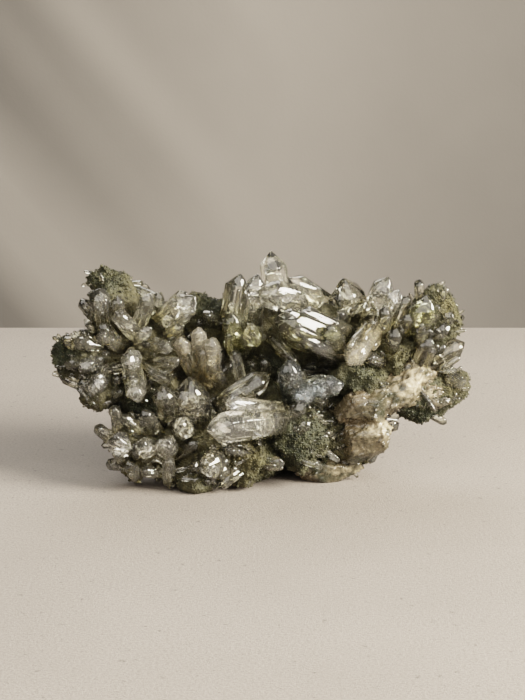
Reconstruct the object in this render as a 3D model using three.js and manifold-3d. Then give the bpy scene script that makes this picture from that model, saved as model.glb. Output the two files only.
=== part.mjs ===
// Chlorite quartz cluster: a craggy chlorite-coated rock in the shape of a shallow boat, with sprays of clear
// six-sided quartz points growing out of it on every side and a broken slab of vein quartz at its lower right.
// Millimetres, +Z up, +X to the viewer's right, -Y towards the viewer, origin on the surface it stands on, under
// the middle of its outline.
import * as THREE from "three";
import { ConvexGeometry } from "three/addons/geometries/ConvexGeometry.js";
import { mergeVertices } from "three/addons/utils/BufferGeometryUtils.js";
import Module from "manifold-3d";

const wasm = await Module();
wasm.setup();

// Heights in the tables below are as the front view shows them, from 12 degrees above the horizon and measured
// from the middle of that view, which is 47 mm above the surface. frontView() turns [across, depth, seen height]
// into a point of the model.
const VIEW_TILT = THREE.MathUtils.degToRad(12);
const VIEW_MIDDLE = 47;

// Where the middle of the outline lies in the tables, across and in depth.
const OUTLINE_MIDDLE = [-0.5, 4];

// The joint between two minerals, left open so that every piece is a solid of its own, and the shortest edge that
// is kept.
const JOINT_GAP = 0.3;
const SMALLEST_EDGE = 0.1;

// Quartz: the angle between a termination face's normal and the equator of the crystal, and how far from regular
// the faces grow.
const CAP_ANGLE = THREE.MathUtils.degToRad(38.2);
const FACE_VARIATION = 0.2;
const MINOR_CAP_SETBACK = 0.07;
const MINOR_CAP_LEAST = 0.3;
const PLAIN_CAP_WIDTH = 8;

// Broken rock: faces on a lump and on a grain, how uneven their distances are, and how far each strays round the
// lump from an even spiral.
const LUMP_FACES = 15;
const GRAIN_FACES = 8;
const ROCK_VARIATION = 0.26;
const ROCK_STRAY = 0.6;
const GOLDEN_ANGLE = Math.PI * (3 - Math.sqrt(5));

// What grows on a lump: how far down its sides it reaches, how deep its foot stands as a share of the lump, how
// far it keeps off the surface below, and the least and the spread of its sizes.
const GROWTH_REACH = 1.7;
const FOOT_DEPTH = 0.84;
const OFF_THE_GROUND = 6;
const GRAIN_SIZE = { least: 1.6, spread: 1.4 };
const POINT_HEIGHT = { least: 3.5, spread: 3 };
const POINT_WIDTH = { least: 2.2, spread: 1.4 };
const POINT_CAP = 0.62;

// Which of the repeatable numbers each random quantity takes.
const DRAW = { lump: 5, turn: 40, size: 80, width: 120 };

// The space below the surface that the rock stands on.
const GROUND_WIDTH = 400;
const GROUND_DEPTH = 60;

// Three faces meet in a corner where their normals span more than this, and corners nearer than this are one.
const LEAST_SPAN = 1e-4;
const SAME_CORNER = 0.02;
const BEHIND_A_FACE = 1e-6;

const COLOURS = {
  chlorite: { color: 0x3d4232, roughness: 0.9 },
  vein: { color: 0xb7a68a, roughness: 0.5 },
  clear: { color: 0xcfcab8, roughness: 0.15 },
  smoky: { color: 0x6f6a55, roughness: 0.2 },
  blue: { color: 0x8d9794, roughness: 0.2 },
  green: { color: 0x5d6244, roughness: 0.25 },
};

// Lumps of the chlorite rock: [across, depth, seen height], [half width, half depth, half height], and how many
// grains and small points grow on it.
const LUMPS = [
  // left wing, upper crest
  [[-43, 8, 2], [20, 17, 12], 1, 0],
  [[-51, 8, 14], [10.5, 13, 12], 3, 0],
  [[-54.4, 6, 24.4], [8.2, 8, 4], 4, 0],
  // left wing, lower arm
  [[-60, 3, -3], [11.5, 13, 9], 2, 0],
  [[-69.4, 1, -2.6], [5.2, 8, 7.6], 5, 0],
  [[-57.6, -2, -14], [7.4, 9, 7], 3, 0],
  [[-38, 8, -13], [14, 14, 15], 0, 0],
  [[-46, 9, -21], [9.4, 9, 9], 0, 0],
  // left foot and front base
  [[-43.6, -8, -35], [10.2, 12, 11], 3, 0],
  [[-28, -4, -35], [16, 14, 13], 1, 0],
  [[-22, -15, -44.8], [9, 8, 6.6], 3, 0],
  [[-6, -8, -38.4], [14, 13, 9], 3, 0],
  [[13, -8, -30], [11.6, 12, 12.6], 6, 0],
  // core
  [[-5, 9, -25], [31, 17, 21], 0, 0],
  [[0, 15, -2], [27, 15, 16], 0, 1],
  [[-20, 13, 11], [11.4, 10, 10.4], 3, 0],
  [[4, 12, 10], [15, 11, 11], 0, 0],
  [[24, 7, 3], [16, 12, 13], 0, 0],
  // right wing
  [[43, 4, 1], [17, 14, 11], 1, 0],
  [[34, -2, -9], [13, 11, 9], 4, 0],
  [[60.4, 4, 10.4], [10.4, 12, 12], 7, 1],
  [[55, 2, -14.4], [16, 11, 11], 1, 0],
  [[67.4, 1, -12.4], [7, 8, 6.6], 4, 0],
  [[28, 5, -27], [17, 14, 16], 1, 0],
  // back
  [[-25, 21, -8], [19, 13, 15], 2, 3],
  [[22, 22, -8], [21, 13, 15], 2, 3],
  [[0, 22, -26], [25, 15, 22], 2, 3],
  [[-16, 17, -39], [11, 10, 9], 0, 0],
  [[19, 17, -38], [11, 10, 9.6], 0, 0],
];

// The broken vein quartz: [across, depth, seen height], [half width, half depth, half height], tilt in the front
// view in degrees.
const VEIN_SLABS = [
  [[50, -4, -12.5], [14.6, 8.6, 7.4], 38],
  [[36, -7, -19.5], [12, 7.6, 7.2], 20],
  [[36.4, -6, -31], [11.8, 8.4, 8.6], 40],
  [[22.4, -2, -41.6], [13.4, 8, 6.6], 4],
  [[60.5, -4, -15.5], [5.6, 6.6, 6.6], 60],
];

// The quartz points that stand free of their neighbours or cross them. Each: [root], [tip], width across its
// faces, flatness of its section, turn about its axis in degrees. Those of one entry have grown through each other.
const CRYSTALS = {
  roof_prism: ["clear", [[[-50, 10, 22], [-33, 4, 14.6], 7.6, 0.9, 10]]],
  dome_point: ["clear", [[[-56, 1, 6], [-56.7, -8, 21.4], 7.8, 1, 0]]],
  barrel_point: ["clear", [[[-36, 1, 8], [-23, -8, 18.6], 10.2, 0.85, 8]]],
  wing_points: [
    "clear",
    [
      [[-54, -1, -6], [-59.4, -14, -15], 8.4, 0.9, 0],
      [[-54, -2, -4], [-63.6, -14, -6], 6.8, 0.85, 10],
    ],
  ],
  hanging_points: [
    "clear",
    [
      [[-46, -3, -3], [-42.9, -18, -18.4], 7.6, 0.9, 0],
      [[-45, -2, -2], [-45.6, -20, -4], 7, 1, 15],
    ],
  ],
  pale_fan: [
    "clear",
    [
      [[-23, -1, -9], [-29, -9, 4.6], 6.4, 0.7, 0],
      [[-21, -2, -9], [-22.4, -10, 8], 6.4, 0.75, 5],
      [[-19, -2, -12], [-17.4, -11, 4.4], 7.6, 0.75, 0],
    ],
  ],
  crown_points: [
    "clear",
    [
      [[5.6, 7, 12], [3, 4, 35], 10, 0.95, 18],
      [[19, 5, 16], [-1.6, -7, 20.5], 11.6, 0.8, 0],
      [[27, 11, 13.6], [8.6, 6, 25.6], 8, 0.8, 10],
    ],
  ],
  twin_points: [
    "clear",
    [
      [[-11, 4, 7], [-7.6, -1, 26.8], 8.4, 0.85, 0],
      [[-5, 3, 7], [-1.6, -3, 26.6], 8, 0.95, 12],
    ],
  ],
  green_ridge_points: [
    "green",
    [
      [[-9.6, 1, -1], [-10.4, -9, 12.8], 8.4, 0.9, 0],
      [[-4.4, 1, 2], [-3, -16, 6.2], 8.2, 1, 20],
    ],
  ],
  cross_prism: ["smoky", [[[2.6, 0, 4], [12.6, -9, -5.6], 6, 0.7, 0]]],
  shoulder_block: [
    "green",
    [
      [[33, 0, 0], [4, -14, 10.6], 14, 0.9, 8],
      [[27, -4, -6], [23.4, -16, 9], 6.6, 0.8, 0],
    ],
  ],
  shield_points: [
    "smoky",
    [
      [[-24, -7, -32], [-25.4, -15, -9.2], 14.6, 0.8, 2],
      [[-31, -8, -28], [-35.2, -16, -12.2], 9, 0.9, 10],
      [[-27, -9, -29], [-27.6, -24, -25.6], 9.4, 1, 0],
    ],
  ],
  diagonal_point: ["smoky", [[[-16, -7, -21], [3, -8, -8.4], 8.6, 0.85, 0]]],
  left_foot_points: [
    "clear",
    [
      [[-47, -14, -38], [-50.6, -25, -29], 8.6, 0.95, 5],
      [[-40.6, -15, -38], [-40.4, -26, -31.4], 8.2, 1, 0],
      [[-35.6, -15, -37], [-31.8, -26, -31], 7.6, 1, 12],
    ],
  ],
  display_points: [
    "clear",
    [
      [[8, -13, -24.6], [-19, -31, -27], 12, 0.85, 0],
      [[8, -13, -21], [-12.8, -27, -18.2], 6.4, 0.8, 8],
    ],
  ],
  mirror_crystal: ["smoky", [[[-17, -15, -39], [-19.4, -28, -41.6], 12, 0.95, 0]]],
  blue_points: [
    "blue",
    [
      [[11, -8, -15], [28.4, -17, -11.6], 8.6, 0.9, 5],
      [[11.4, -6, -19], [8.8, -15, -3.4], 9.8, 0.85, 0],
      [[13, -8, -16.6], [14.6, -21, -15.4], 8.4, 1, 20],
    ],
  ],
  roof_block: ["smoky", [[[33, 7, 12], [28, 2, 25.4], 12.8, 0.9, 14]]],
  leaning_points: [
    "clear",
    [
      [[37.5, 4, 10], [44, -3, 25.6], 9, 0.9, 5],
      [[42, 3, 9], [47.6, -5, 21], 7, 1, 20],
    ],
  ],
  green_dome: ["green", [[[55, 0, 4], [57, -11, 18.4], 12.8, 0.9, 12]]],
  bright_pillar: ["clear", [[[39, -3, 7.6], [29.4, -18, -5.4], 9, 0.95, 0]]],
  right_edge_prism: ["smoky", [[[58, -3, -6], [71, -4, 2.8], 7.4, 0.7, 0]]],
  rear_left_points: [
    "clear",
    [
      [[-44, 16, 3], [-52, 30, 13], 9, 0.9, 0],
      [[-41, 16, 3], [-40, 33, 17], 7.8, 0.9, 10],
    ],
  ],
  rear_crest_points: [
    "clear",
    [
      [[0, 22, 4], [3, 36, 22], 9.6, 0.9, 12],
      [[4.6, 22, 3], [14, 37, 15], 7.4, 1, 5],
    ],
  ],
  rear_right_points: [
    "clear",
    [
      [[44, 13, 4], [50, 28, 17], 9, 0.9, 0],
      [[46, 13, 2], [58, 27, 5], 7.6, 0.9, 10],
    ],
  ],
  rear_low_points: [
    "smoky",
    [
      [[-4, 31, -18], [-8, 39.6, -11], 8, 0.9, 0],
      [[-2, 31, -20], [6, 40, -20], 7.4, 1, 10],
    ],
  ],
};

// Smaller points and stubs that have grown fast to the rock, in the same form.
const DRUSE = [
  // left wing
  [[-58, 4, 14], [-64.7, -2, 14.6], 5, 1, 20],
  [[-47, -1, 8], [-46.4, -14, 10], 7, 1, 0],
  [[-43, 0, 10], [-40.6, -10, 17.6], 6.8, 1, 25],
  [[-38, 4, 10], [-36, -2, 20.4], 5.4, 1, 12],
  [[-51, 0, 9], [-49.6, -10, 16.4], 5.6, 1, 10],
  [[-54, -1, 3], [-52.8, -11, 7.4], 6.2, 1, 30],
  [[-62, -1, 0], [-68.8, -8, 3], 5.4, 0.9, 0],
  [[-60, -3, -1], [-60.6, -13, 4.4], 6.2, 1, 20],
  [[-50, -3, -4], [-54, -12, -9.4], 5.4, 1, 12],
  [[-40, -3, -5], [-35.6, -14, -12.6], 6, 0.85, 0],
  [[-38, -3, -2], [-31, -12, -6.4], 5.6, 0.85, 20],
  [[-38, -2, 2], [-34, -12, 1], 6, 1, 5],
  [[-52, -3, -1], [-53.5, -13, 5.4], 4.8, 1, 0],
  [[-44, -2, 4], [-41, -13, 4.4], 5.8, 1, 10],
  [[-61, -1, -4], [-66.6, -11, -6], 5.6, 1, 25],
  [[-34, 1, 4], [-30, -9, 8], 5.6, 1, 0],
  // middle
  [[-19, 2, -4], [-13.8, -11, -13], 6.4, 1, 20],
  [[-9, 4, -3], [-8, -9, -10], 5.4, 0.9, 0],
  [[2, 4, -14], [0.8, -4, -3], 5.4, 0.9, 10],
  [[20, -2, -2], [17, -12, 1.6], 6.6, 1, 20],
  [[13, -9, -24], [8.6, -21, -21.6], 6.4, 1, 0],
  [[14, -10, -27], [8.4, -22, -29], 6.6, 1, 15],
  [[10, 7, 13], [12, -1, 20], 6.4, 1, 0],
  [[-17, 8, 8], [-18, -2, 11.4], 5.8, 1, 15],
  // left foot and base
  [[-49, -10, -31], [-52, -14, -19], 5.8, 0.9, 0],
  [[-45, -11, -31], [-44.4, -20, -22.4], 6, 0.9, 10],
  [[-37.6, -9, -31], [-38.4, -19, -21.6], 7, 1, 20],
  [[-51, -9, -34], [-58.8, -11, -26.4], 5, 1, 0],
  [[-43, -15, -42], [-45, -24, -42], 6.8, 1, 25],
  [[-31, -13, -41], [-33.6, -23, -41.4], 6.4, 1, 5],
  [[-47, -12, -39], [-52.6, -20, -41], 5.8, 1, 0],
  [[-38, -13, -43], [-38.8, -23, -43.4], 6, 1, 20],
  [[-28, -10, -36], [-25.6, -22, -35], 6, 1, 10],
  [[-42, -9, -29], [-41, -18, -25.4], 5.6, 1, 0],
  [[-6, -14, -36], [-10.6, -23, -34.2], 5.4, 1, 0],
  [[-7, -15, -43], [-13.6, -23, -46.2], 5, 0.6, 20],
  [[3, -14, -38], [4.6, -22, -41], 6, 1, 0],
  // right
  [[17, 0, -7], [22, -14, -5.4], 6.4, 0.8, 10],
  [[46, 1, 8], [50.8, -5, 19], 5.8, 1, 0],
  [[55, 5, 17], [55, 2, 25], 4.6, 1, 0],
  [[48, -3, 3], [50.6, -11, 11.4], 6.6, 1, 0],
  [[53, -1, 0], [59.6, -12, -2.8], 7.4, 0.9, 0],
  [[46, -4, 0], [44.6, -12, 5.8], 6.6, 1, 5],
  [[40, -6, -5], [38, -13, -2], 6, 1, 10],
  [[57, 0, 7], [63.4, -10, 4], 6.4, 1, 0],
  [[61, 0, 9], [66.6, -8, 9.6], 6, 1, 15],
  [[33, -2, -2], [34.6, -12, 2.6], 6, 1, 5],
  [[43, -1, 7], [42.6, -10, 13], 6, 1, 0],
  [[66, -2, -12], [69.4, -9, -8.6], 6.8, 1, 10],
  // back
  [[-49, 16, -4], [-60, 26, -6], 7.4, 0.9, 20],
  [[-12, 25, 2], [-18, 34, 11], 7, 0.9, 15],
  [[41, 9, -5], [50, 26, -11], 7.4, 0.9, 0],
  [[-27, 29, -12], [-36, 38, -17], 7.8, 0.9, 10],
  [[24, 31, -12], [31, 39, -16], 7.8, 1, 0],
  [[9, 26, -4], [15, 39, 4], 7.6, 0.9, 20],
];

// A repeatable number from 0 to 1 for a seed and a counter.
function chance(seed, count) {
  const value = Math.sin(seed * 12.9898 + count * 78.233) * 43758.5453;
  return value - Math.floor(value);
}

function frontView([across, depth, seen]) {
  const height = VIEW_MIDDLE + seen / Math.cos(VIEW_TILT) - depth * Math.tan(VIEW_TILT);
  return new THREE.Vector3(across - OUTLINE_MIDDLE[0], depth - OUTLINE_MIDDLE[1], height);
}

// A number of its own for each pair of places, from fixed weights on their coordinates.
function seedOf(a, b) {
  return a.x * 0.37 + a.y * 0.61 + a.z * 0.23 + b.x * 0.71 + b.y * 0.43 + b.z * 0.31;
}

// The solid that lies behind all of its faces, each a normal and a distance: its corners are where three faces
// meet and no other face cuts them off.
function cornersBehind(faces) {
  const corners = [];
  for (let i = 0; i < faces.length; i++)
    for (let j = i + 1; j < faces.length; j++)
      for (let k = j + 1; k < faces.length; k++) {
        const [a, b, c] = [faces[i], faces[j], faces[k]];
        const across = new THREE.Vector3().crossVectors(b.normal, c.normal);
        const volume = a.normal.dot(across);
        if (Math.abs(volume) < LEAST_SPAN) continue;
        const corner = across
          .multiplyScalar(a.distance)
          .addScaledVector(new THREE.Vector3().crossVectors(c.normal, a.normal), b.distance)
          .addScaledVector(new THREE.Vector3().crossVectors(a.normal, b.normal), c.distance)
          .divideScalar(volume);
        const hidden = faces.some((face) => face.normal.dot(corner) > face.distance + BEHIND_A_FACE);
        const double = corners.some((other) => other.distanceTo(corner) < SAME_CORNER);
        if (!hidden && !double) corners.push(corner);
      }
  return corners;
}

// A closed geometry as a solid that can be joined and cut.
function solidOf(geometry) {
  const bare = geometry.index ? geometry.toNonIndexed() : geometry.clone();
  bare.deleteAttribute("normal");
  bare.deleteAttribute("uv");
  const merged = mergeVertices(bare, 1e-4);
  const mesh = new wasm.Mesh({
    numProp: 3,
    vertProperties: merged.attributes.position.array,
    triVerts: new Uint32Array(merged.index.array),
  });
  return new wasm.Manifold(mesh);
}

function joined(solids) {
  return solids.reduce((whole, solid) => whole.add(solid));
}

function mainBody(solid) {
  return solid.decompose().reduce((best, body) => (body.volume() > best.volume() ? body : best));
}

// A cut solid without its loose splinters, its flat faces whole and its nearest corners made one.
function finished(solid) {
  return mainBody(mainBody(solid).asOriginal().simplify(SMALLEST_EDGE));
}

// A quartz point: six prism faces round an axis from root to tip, and six termination faces, of which every
// second is smaller. grow moves every face outwards, which gives the socket that the point sits in.
function quartzPoint([root, tip, width, flatness, turn], grow = 0) {
  const from = frontView(root);
  const to = frontView(tip);
  const seed = seedOf(from, to);
  const length = from.distanceTo(to);
  const axis = new THREE.Vector3().subVectors(to, from).normalize();
  const up = new THREE.Vector3(0, 0, 1);
  const spin = new THREE.Quaternion().setFromAxisAngle(up, THREE.MathUtils.degToRad(turn));
  const frame = new THREE.Quaternion().setFromUnitVectors(up, axis).multiply(spin);
  const faces = [{ normal: new THREE.Vector3(0, 0, -1), distance: grow }];
  for (let side = 0; side < 6; side++) {
    const angle = (side * Math.PI) / 3;
    const squeeze = side % 3 === 0 ? 1 : flatness;
    const uneven = 1 - FACE_VARIATION * chance(seed, side);
    faces.push({
      normal: new THREE.Vector3(Math.cos(angle), Math.sin(angle), 0),
      distance: (width / 2) * squeeze * uneven + grow,
    });
    const minor = side % 2 === 1;
    if (minor && width < PLAIN_CAP_WIDTH) continue;
    const setback = minor ? MINOR_CAP_SETBACK * width * (MINOR_CAP_LEAST + chance(seed, side + 6)) : 0;
    faces.push({
      normal: new THREE.Vector3(
        Math.cos(angle) * Math.cos(CAP_ANGLE),
        Math.sin(angle) * Math.cos(CAP_ANGLE),
        Math.sin(CAP_ANGLE),
      ),
      distance: length * Math.sin(CAP_ANGLE) + setback + grow,
    });
  }
  const geometry = new ConvexGeometry(cornersBehind(faces));
  return solidOf(geometry.applyQuaternion(frame).translate(from.x, from.y, from.z));
}

// A lump of broken rock: a ball of unevenly spaced flat faces, stretched to its half sizes.
function rockLump(centre, halves, faceCount, tilt = 0, grow = 0) {
  const seed = seedOf(centre, new THREE.Vector3(...halves));
  const stretch = new THREE.Vector3(...halves);
  const faces = [];
  for (let count = 0; count < faceCount; count++) {
    const rise = 1 - (2 * (count + 0.5)) / faceCount;
    const angle = count * GOLDEN_ANGLE + chance(seed, count) * ROCK_STRAY;
    const ring = Math.sqrt(1 - rise * rise);
    const direction = new THREE.Vector3(ring * Math.cos(angle), ring * Math.sin(angle), rise);
    const reach = 1 - ROCK_VARIATION * chance(seed, count + faceCount);
    // a face of the unit ball, carried over to the stretched one
    const normal = direction.clone().divide(stretch);
    const scale = normal.length();
    faces.push({ normal: normal.divideScalar(scale), distance: reach / scale + grow });
  }
  const geometry = new ConvexGeometry(cornersBehind(faces));
  geometry.rotateY(THREE.MathUtils.degToRad(-tilt));
  return solidOf(geometry.translate(centre.x, centre.y, centre.z));
}

// Grains and small points that grow out of a lump, at seeded places over its surface.
function growths(centre, halves, grainCount, pointCount) {
  const seed = seedOf(centre, new THREE.Vector3(...halves)) + DRAW.lump;
  const made = [];
  for (let count = 0; count < grainCount + pointCount; count++) {
    const rise = 1 - GROWTH_REACH * chance(seed, count);
    const angle = 2 * Math.PI * chance(seed, count + DRAW.turn);
    const ring = Math.sqrt(Math.max(0, 1 - rise * rise));
    const out = new THREE.Vector3(ring * Math.cos(angle), ring * Math.sin(angle), rise);
    const foot = out.clone().multiply(new THREE.Vector3(...halves)).multiplyScalar(FOOT_DEPTH).add(centre);
    if (foot.z < OFF_THE_GROUND) continue;
    const draw = chance(seed, count + DRAW.size);
    if (count < grainCount) {
      const size = GRAIN_SIZE.least + GRAIN_SIZE.spread * draw;
      made.push(rockLump(foot, [size, size * 1.1, size * 0.9], GRAIN_FACES));
    } else {
      const height = POINT_HEIGHT.least + POINT_HEIGHT.spread * draw;
      const width = POINT_WIDTH.least + POINT_WIDTH.spread * chance(seed, count + DRAW.width);
      made.push(smallPoint(foot, out, height, width));
    }
  }
  return made;
}

// A small six-sided point on a place of the rock.
function smallPoint(foot, out, height, width) {
  const cap = POINT_CAP * width;
  const radius = width / Math.sqrt(3);
  const geometry = new THREE.LatheGeometry(
    [
      new THREE.Vector2(0, 0),
      new THREE.Vector2(radius, 0),
      new THREE.Vector2(radius, height - cap),
      new THREE.Vector2(0, height),
    ],
    6,
  );
  const upright = new THREE.Quaternion().setFromUnitVectors(new THREE.Vector3(0, 1, 0), out);
  return solidOf(geometry.applyQuaternion(upright).translate(foot.x, foot.y, foot.z));
}

// Everything below the surface that the rock stands on.
function belowGround() {
  const slab = new THREE.BoxGeometry(GROUND_WIDTH, GROUND_WIDTH, GROUND_DEPTH);
  return solidOf(slab.translate(0, 0, -GROUND_DEPTH / 2));
}

function meshOf(name, solid, look) {
  const cut = solid.getMesh();
  const geometry = new THREE.BufferGeometry();
  geometry.setAttribute("position", new THREE.BufferAttribute(new Float32Array(cut.vertProperties), 3));
  geometry.setIndex(new THREE.BufferAttribute(new Uint32Array(cut.triVerts), 1));
  const mesh = new THREE.Mesh(geometry, new THREE.MeshStandardMaterial({ ...look, metalness: 0 }));
  mesh.name = name;
  return mesh;
}

const ground = belowGround();
const cluster = new THREE.Group();

// The crystals, each cut where an earlier one has grown against it.
const sockets = [];
for (const [name, [colour, points]] of Object.entries(CRYSTALS)) {
  const grown = joined(points.map((point) => quartzPoint(point)));
  const free = sockets.reduce((solid, socket) => solid.subtract(socket), grown.subtract(ground));
  cluster.add(meshOf(name, finished(free), COLOURS[colour]));
  sockets.push(joined(points.map((point) => quartzPoint(point, JOINT_GAP))));
}
const allSockets = joined(sockets);

// The vein quartz lies in front of the rock, and the rock fits round it.
const slab = ([centre, halves, tilt], grow) => rockLump(frontView(centre), halves, LUMP_FACES, tilt, grow);
const slabs = (grow) => joined(VEIN_SLABS.map((entry) => slab(entry, grow)));
const vein = finished(slabs(0).subtract(allSockets).subtract(ground));
cluster.add(meshOf("vein_quartz", vein, COLOURS.vein));

const lumps = joined(
  LUMPS.flatMap(([centre, halves, grains, points]) => {
    const place = frontView(centre);
    return [rockLump(place, halves, LUMP_FACES), ...growths(place, halves, grains, points)];
  }),
);
const druse = joined(DRUSE.map((point) => quartzPoint(point)));
const rock = lumps.add(druse).subtract(allSockets).subtract(slabs(JOINT_GAP)).subtract(ground);
cluster.add(meshOf("chlorite_rock", finished(rock), COLOURS.chlorite));

export default cluster;
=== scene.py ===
"""Looks of the chlorite quartz cluster: rock with a chlorite crust, vein quartz and a few hundred quartz points.

Lengths in the tables are millimetres, and everything that goes into Blender is in metres, in the frame of the
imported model: +Z up, +X to the viewer's right, -Y towards the viewer, origin on the surface the cluster stands on.
"""
import logging
import math
from collections.abc import Iterator
from dataclasses import dataclass, field
from enum import Enum
from functools import lru_cache
from itertools import combinations

import bpy
import numpy as np
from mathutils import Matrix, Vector


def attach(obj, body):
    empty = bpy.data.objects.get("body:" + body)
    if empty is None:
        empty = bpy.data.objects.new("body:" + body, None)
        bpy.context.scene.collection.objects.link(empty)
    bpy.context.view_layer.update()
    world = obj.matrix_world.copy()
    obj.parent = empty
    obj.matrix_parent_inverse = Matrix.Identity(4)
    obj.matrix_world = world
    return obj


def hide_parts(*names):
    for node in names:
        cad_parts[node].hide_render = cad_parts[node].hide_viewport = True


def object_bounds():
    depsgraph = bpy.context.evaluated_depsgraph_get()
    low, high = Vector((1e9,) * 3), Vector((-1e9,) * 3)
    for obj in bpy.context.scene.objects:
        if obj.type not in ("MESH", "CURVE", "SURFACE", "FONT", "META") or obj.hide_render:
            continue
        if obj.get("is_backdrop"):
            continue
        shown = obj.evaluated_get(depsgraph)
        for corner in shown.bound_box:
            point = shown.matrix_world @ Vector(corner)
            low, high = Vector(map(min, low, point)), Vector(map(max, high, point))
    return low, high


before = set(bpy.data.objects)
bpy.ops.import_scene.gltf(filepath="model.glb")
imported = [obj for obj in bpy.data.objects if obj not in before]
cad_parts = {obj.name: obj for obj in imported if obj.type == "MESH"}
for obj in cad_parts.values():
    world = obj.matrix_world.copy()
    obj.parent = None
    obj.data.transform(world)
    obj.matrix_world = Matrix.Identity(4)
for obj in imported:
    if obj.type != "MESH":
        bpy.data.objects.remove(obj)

LOG = logging.getLogger("cluster")

MM = 0.001
VIEW_TILT = math.radians(12)
VIEW_MIDDLE = 47.0
OUTLINE_MIDDLE = (-0.5, 4.0)
CAP_ANGLE = math.radians(38.2)
FACE_VARIATION = 0.2
MINOR_CAP_SETBACK = 0.07
MINOR_CAP_LEAST = 0.3
PLAIN_CAP_WIDTH = 8.0
CRACKED_WIDTH = 3.0
LUMP_FACES = 15
ROCK_VARIATION = 0.26
ROCK_STRAY = 0.6
QUARTZ_IOR = 1.54
# Clearances in mm: above the ground, inside the CAD box, from a slanted companion's tip to the rock.
GROUND_GAP = 0.02
BOX_MARGIN = 0.4
SLANT_REACH = 4.8
# Tolerances in mm for a corner on a face and for two corners at one place, and the least span of three faces.
ON_FACE = 1.5e-3
SAME_CORNER = 1e-3
LEAST_SPAN = 1e-4
GOLDEN_ANGLE = math.pi * (3 - math.sqrt(5))

Colour = tuple[float, float, float]
Place = tuple[float, float, float]
PointRow = tuple[Place, Place, float, float, float]

# Rock lumps: (across, depth, seen height), (half width, half depth, half height).
LUMPS: tuple[tuple[Place, Place], ...] = (
    ((-43, 8, 2), (20, 17, 12)),
    ((-51, 8, 14), (10.5, 13, 12)),
    ((-54.4, 6, 24.4), (8.2, 8, 4)),
    ((-60, 3, -3), (11.5, 13, 9)),
    ((-69.4, 1, -2.6), (5.2, 8, 7.6)),
    ((-57.6, -2, -14), (7.4, 9, 7)),
    ((-38, 8, -13), (14, 14, 15)),
    ((-46, 9, -21), (9.4, 9, 9)),
    ((-43.6, -8, -35), (10.2, 12, 11)),
    ((-28, -4, -35), (16, 14, 13)),
    ((-22, -15, -44.8), (9, 8, 6.6)),
    ((-6, -8, -38.4), (14, 13, 9)),
    ((13, -8, -30), (11.6, 12, 12.6)),
    ((-5, 9, -25), (31, 17, 21)),
    ((0, 15, -2), (27, 15, 16)),
    ((-20, 13, 11), (11.4, 10, 10.4)),
    ((4, 12, 10), (15, 11, 11)),
    ((24, 7, 3), (16, 12, 13)),
    ((43, 4, 1), (17, 14, 11)),
    ((34, -2, -9), (13, 11, 9)),
    ((60.4, 4, 10.4), (10.4, 12, 12)),
    ((55, 2, -14.4), (16, 11, 11)),
    ((67.4, 1, -12.4), (7, 8, 6.6)),
    ((28, 5, -27), (17, 14, 16)),
    ((-25, 21, -8), (19, 13, 15)),
    ((22, 22, -8), (21, 13, 15)),
    ((0, 22, -26), (25, 15, 22)),
    ((-16, 17, -39), (11, 10, 9)),
    ((19, 17, -38), (11, 10, 9.6)),
)

# Slabs of vein quartz: as the lumps, with their tilt in the front view in degrees.
VEIN_SLABS: tuple[tuple[Place, Place, float], ...] = (
    ((50, -4, -12.5), (14.6, 8.6, 7.4), 38),
    ((36, -7, -19.5), (12, 7.6, 7.2), 20),
    ((36.4, -6, -31), (11.8, 8.4, 8.6), 40),
    ((22.4, -2, -41.6), (13.4, 8, 6.6), 4),
    ((60.5, -4, -15.5), (5.6, 6.6, 6.6), 60),
)


class Quartz(Enum):
    """The kinds of quartz in the cluster."""

    CLEAR = "clear"
    MILKY = "milky"
    SMOKY = "smoky"
    BLUE = "blue"
    GREEN = "green"

    @property
    def slot(self) -> str:
        """The record's material slot: milky quartz shares the clear one."""
        return "clear_quartz" if self is Quartz.MILKY else f"{self.value}_quartz"


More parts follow.
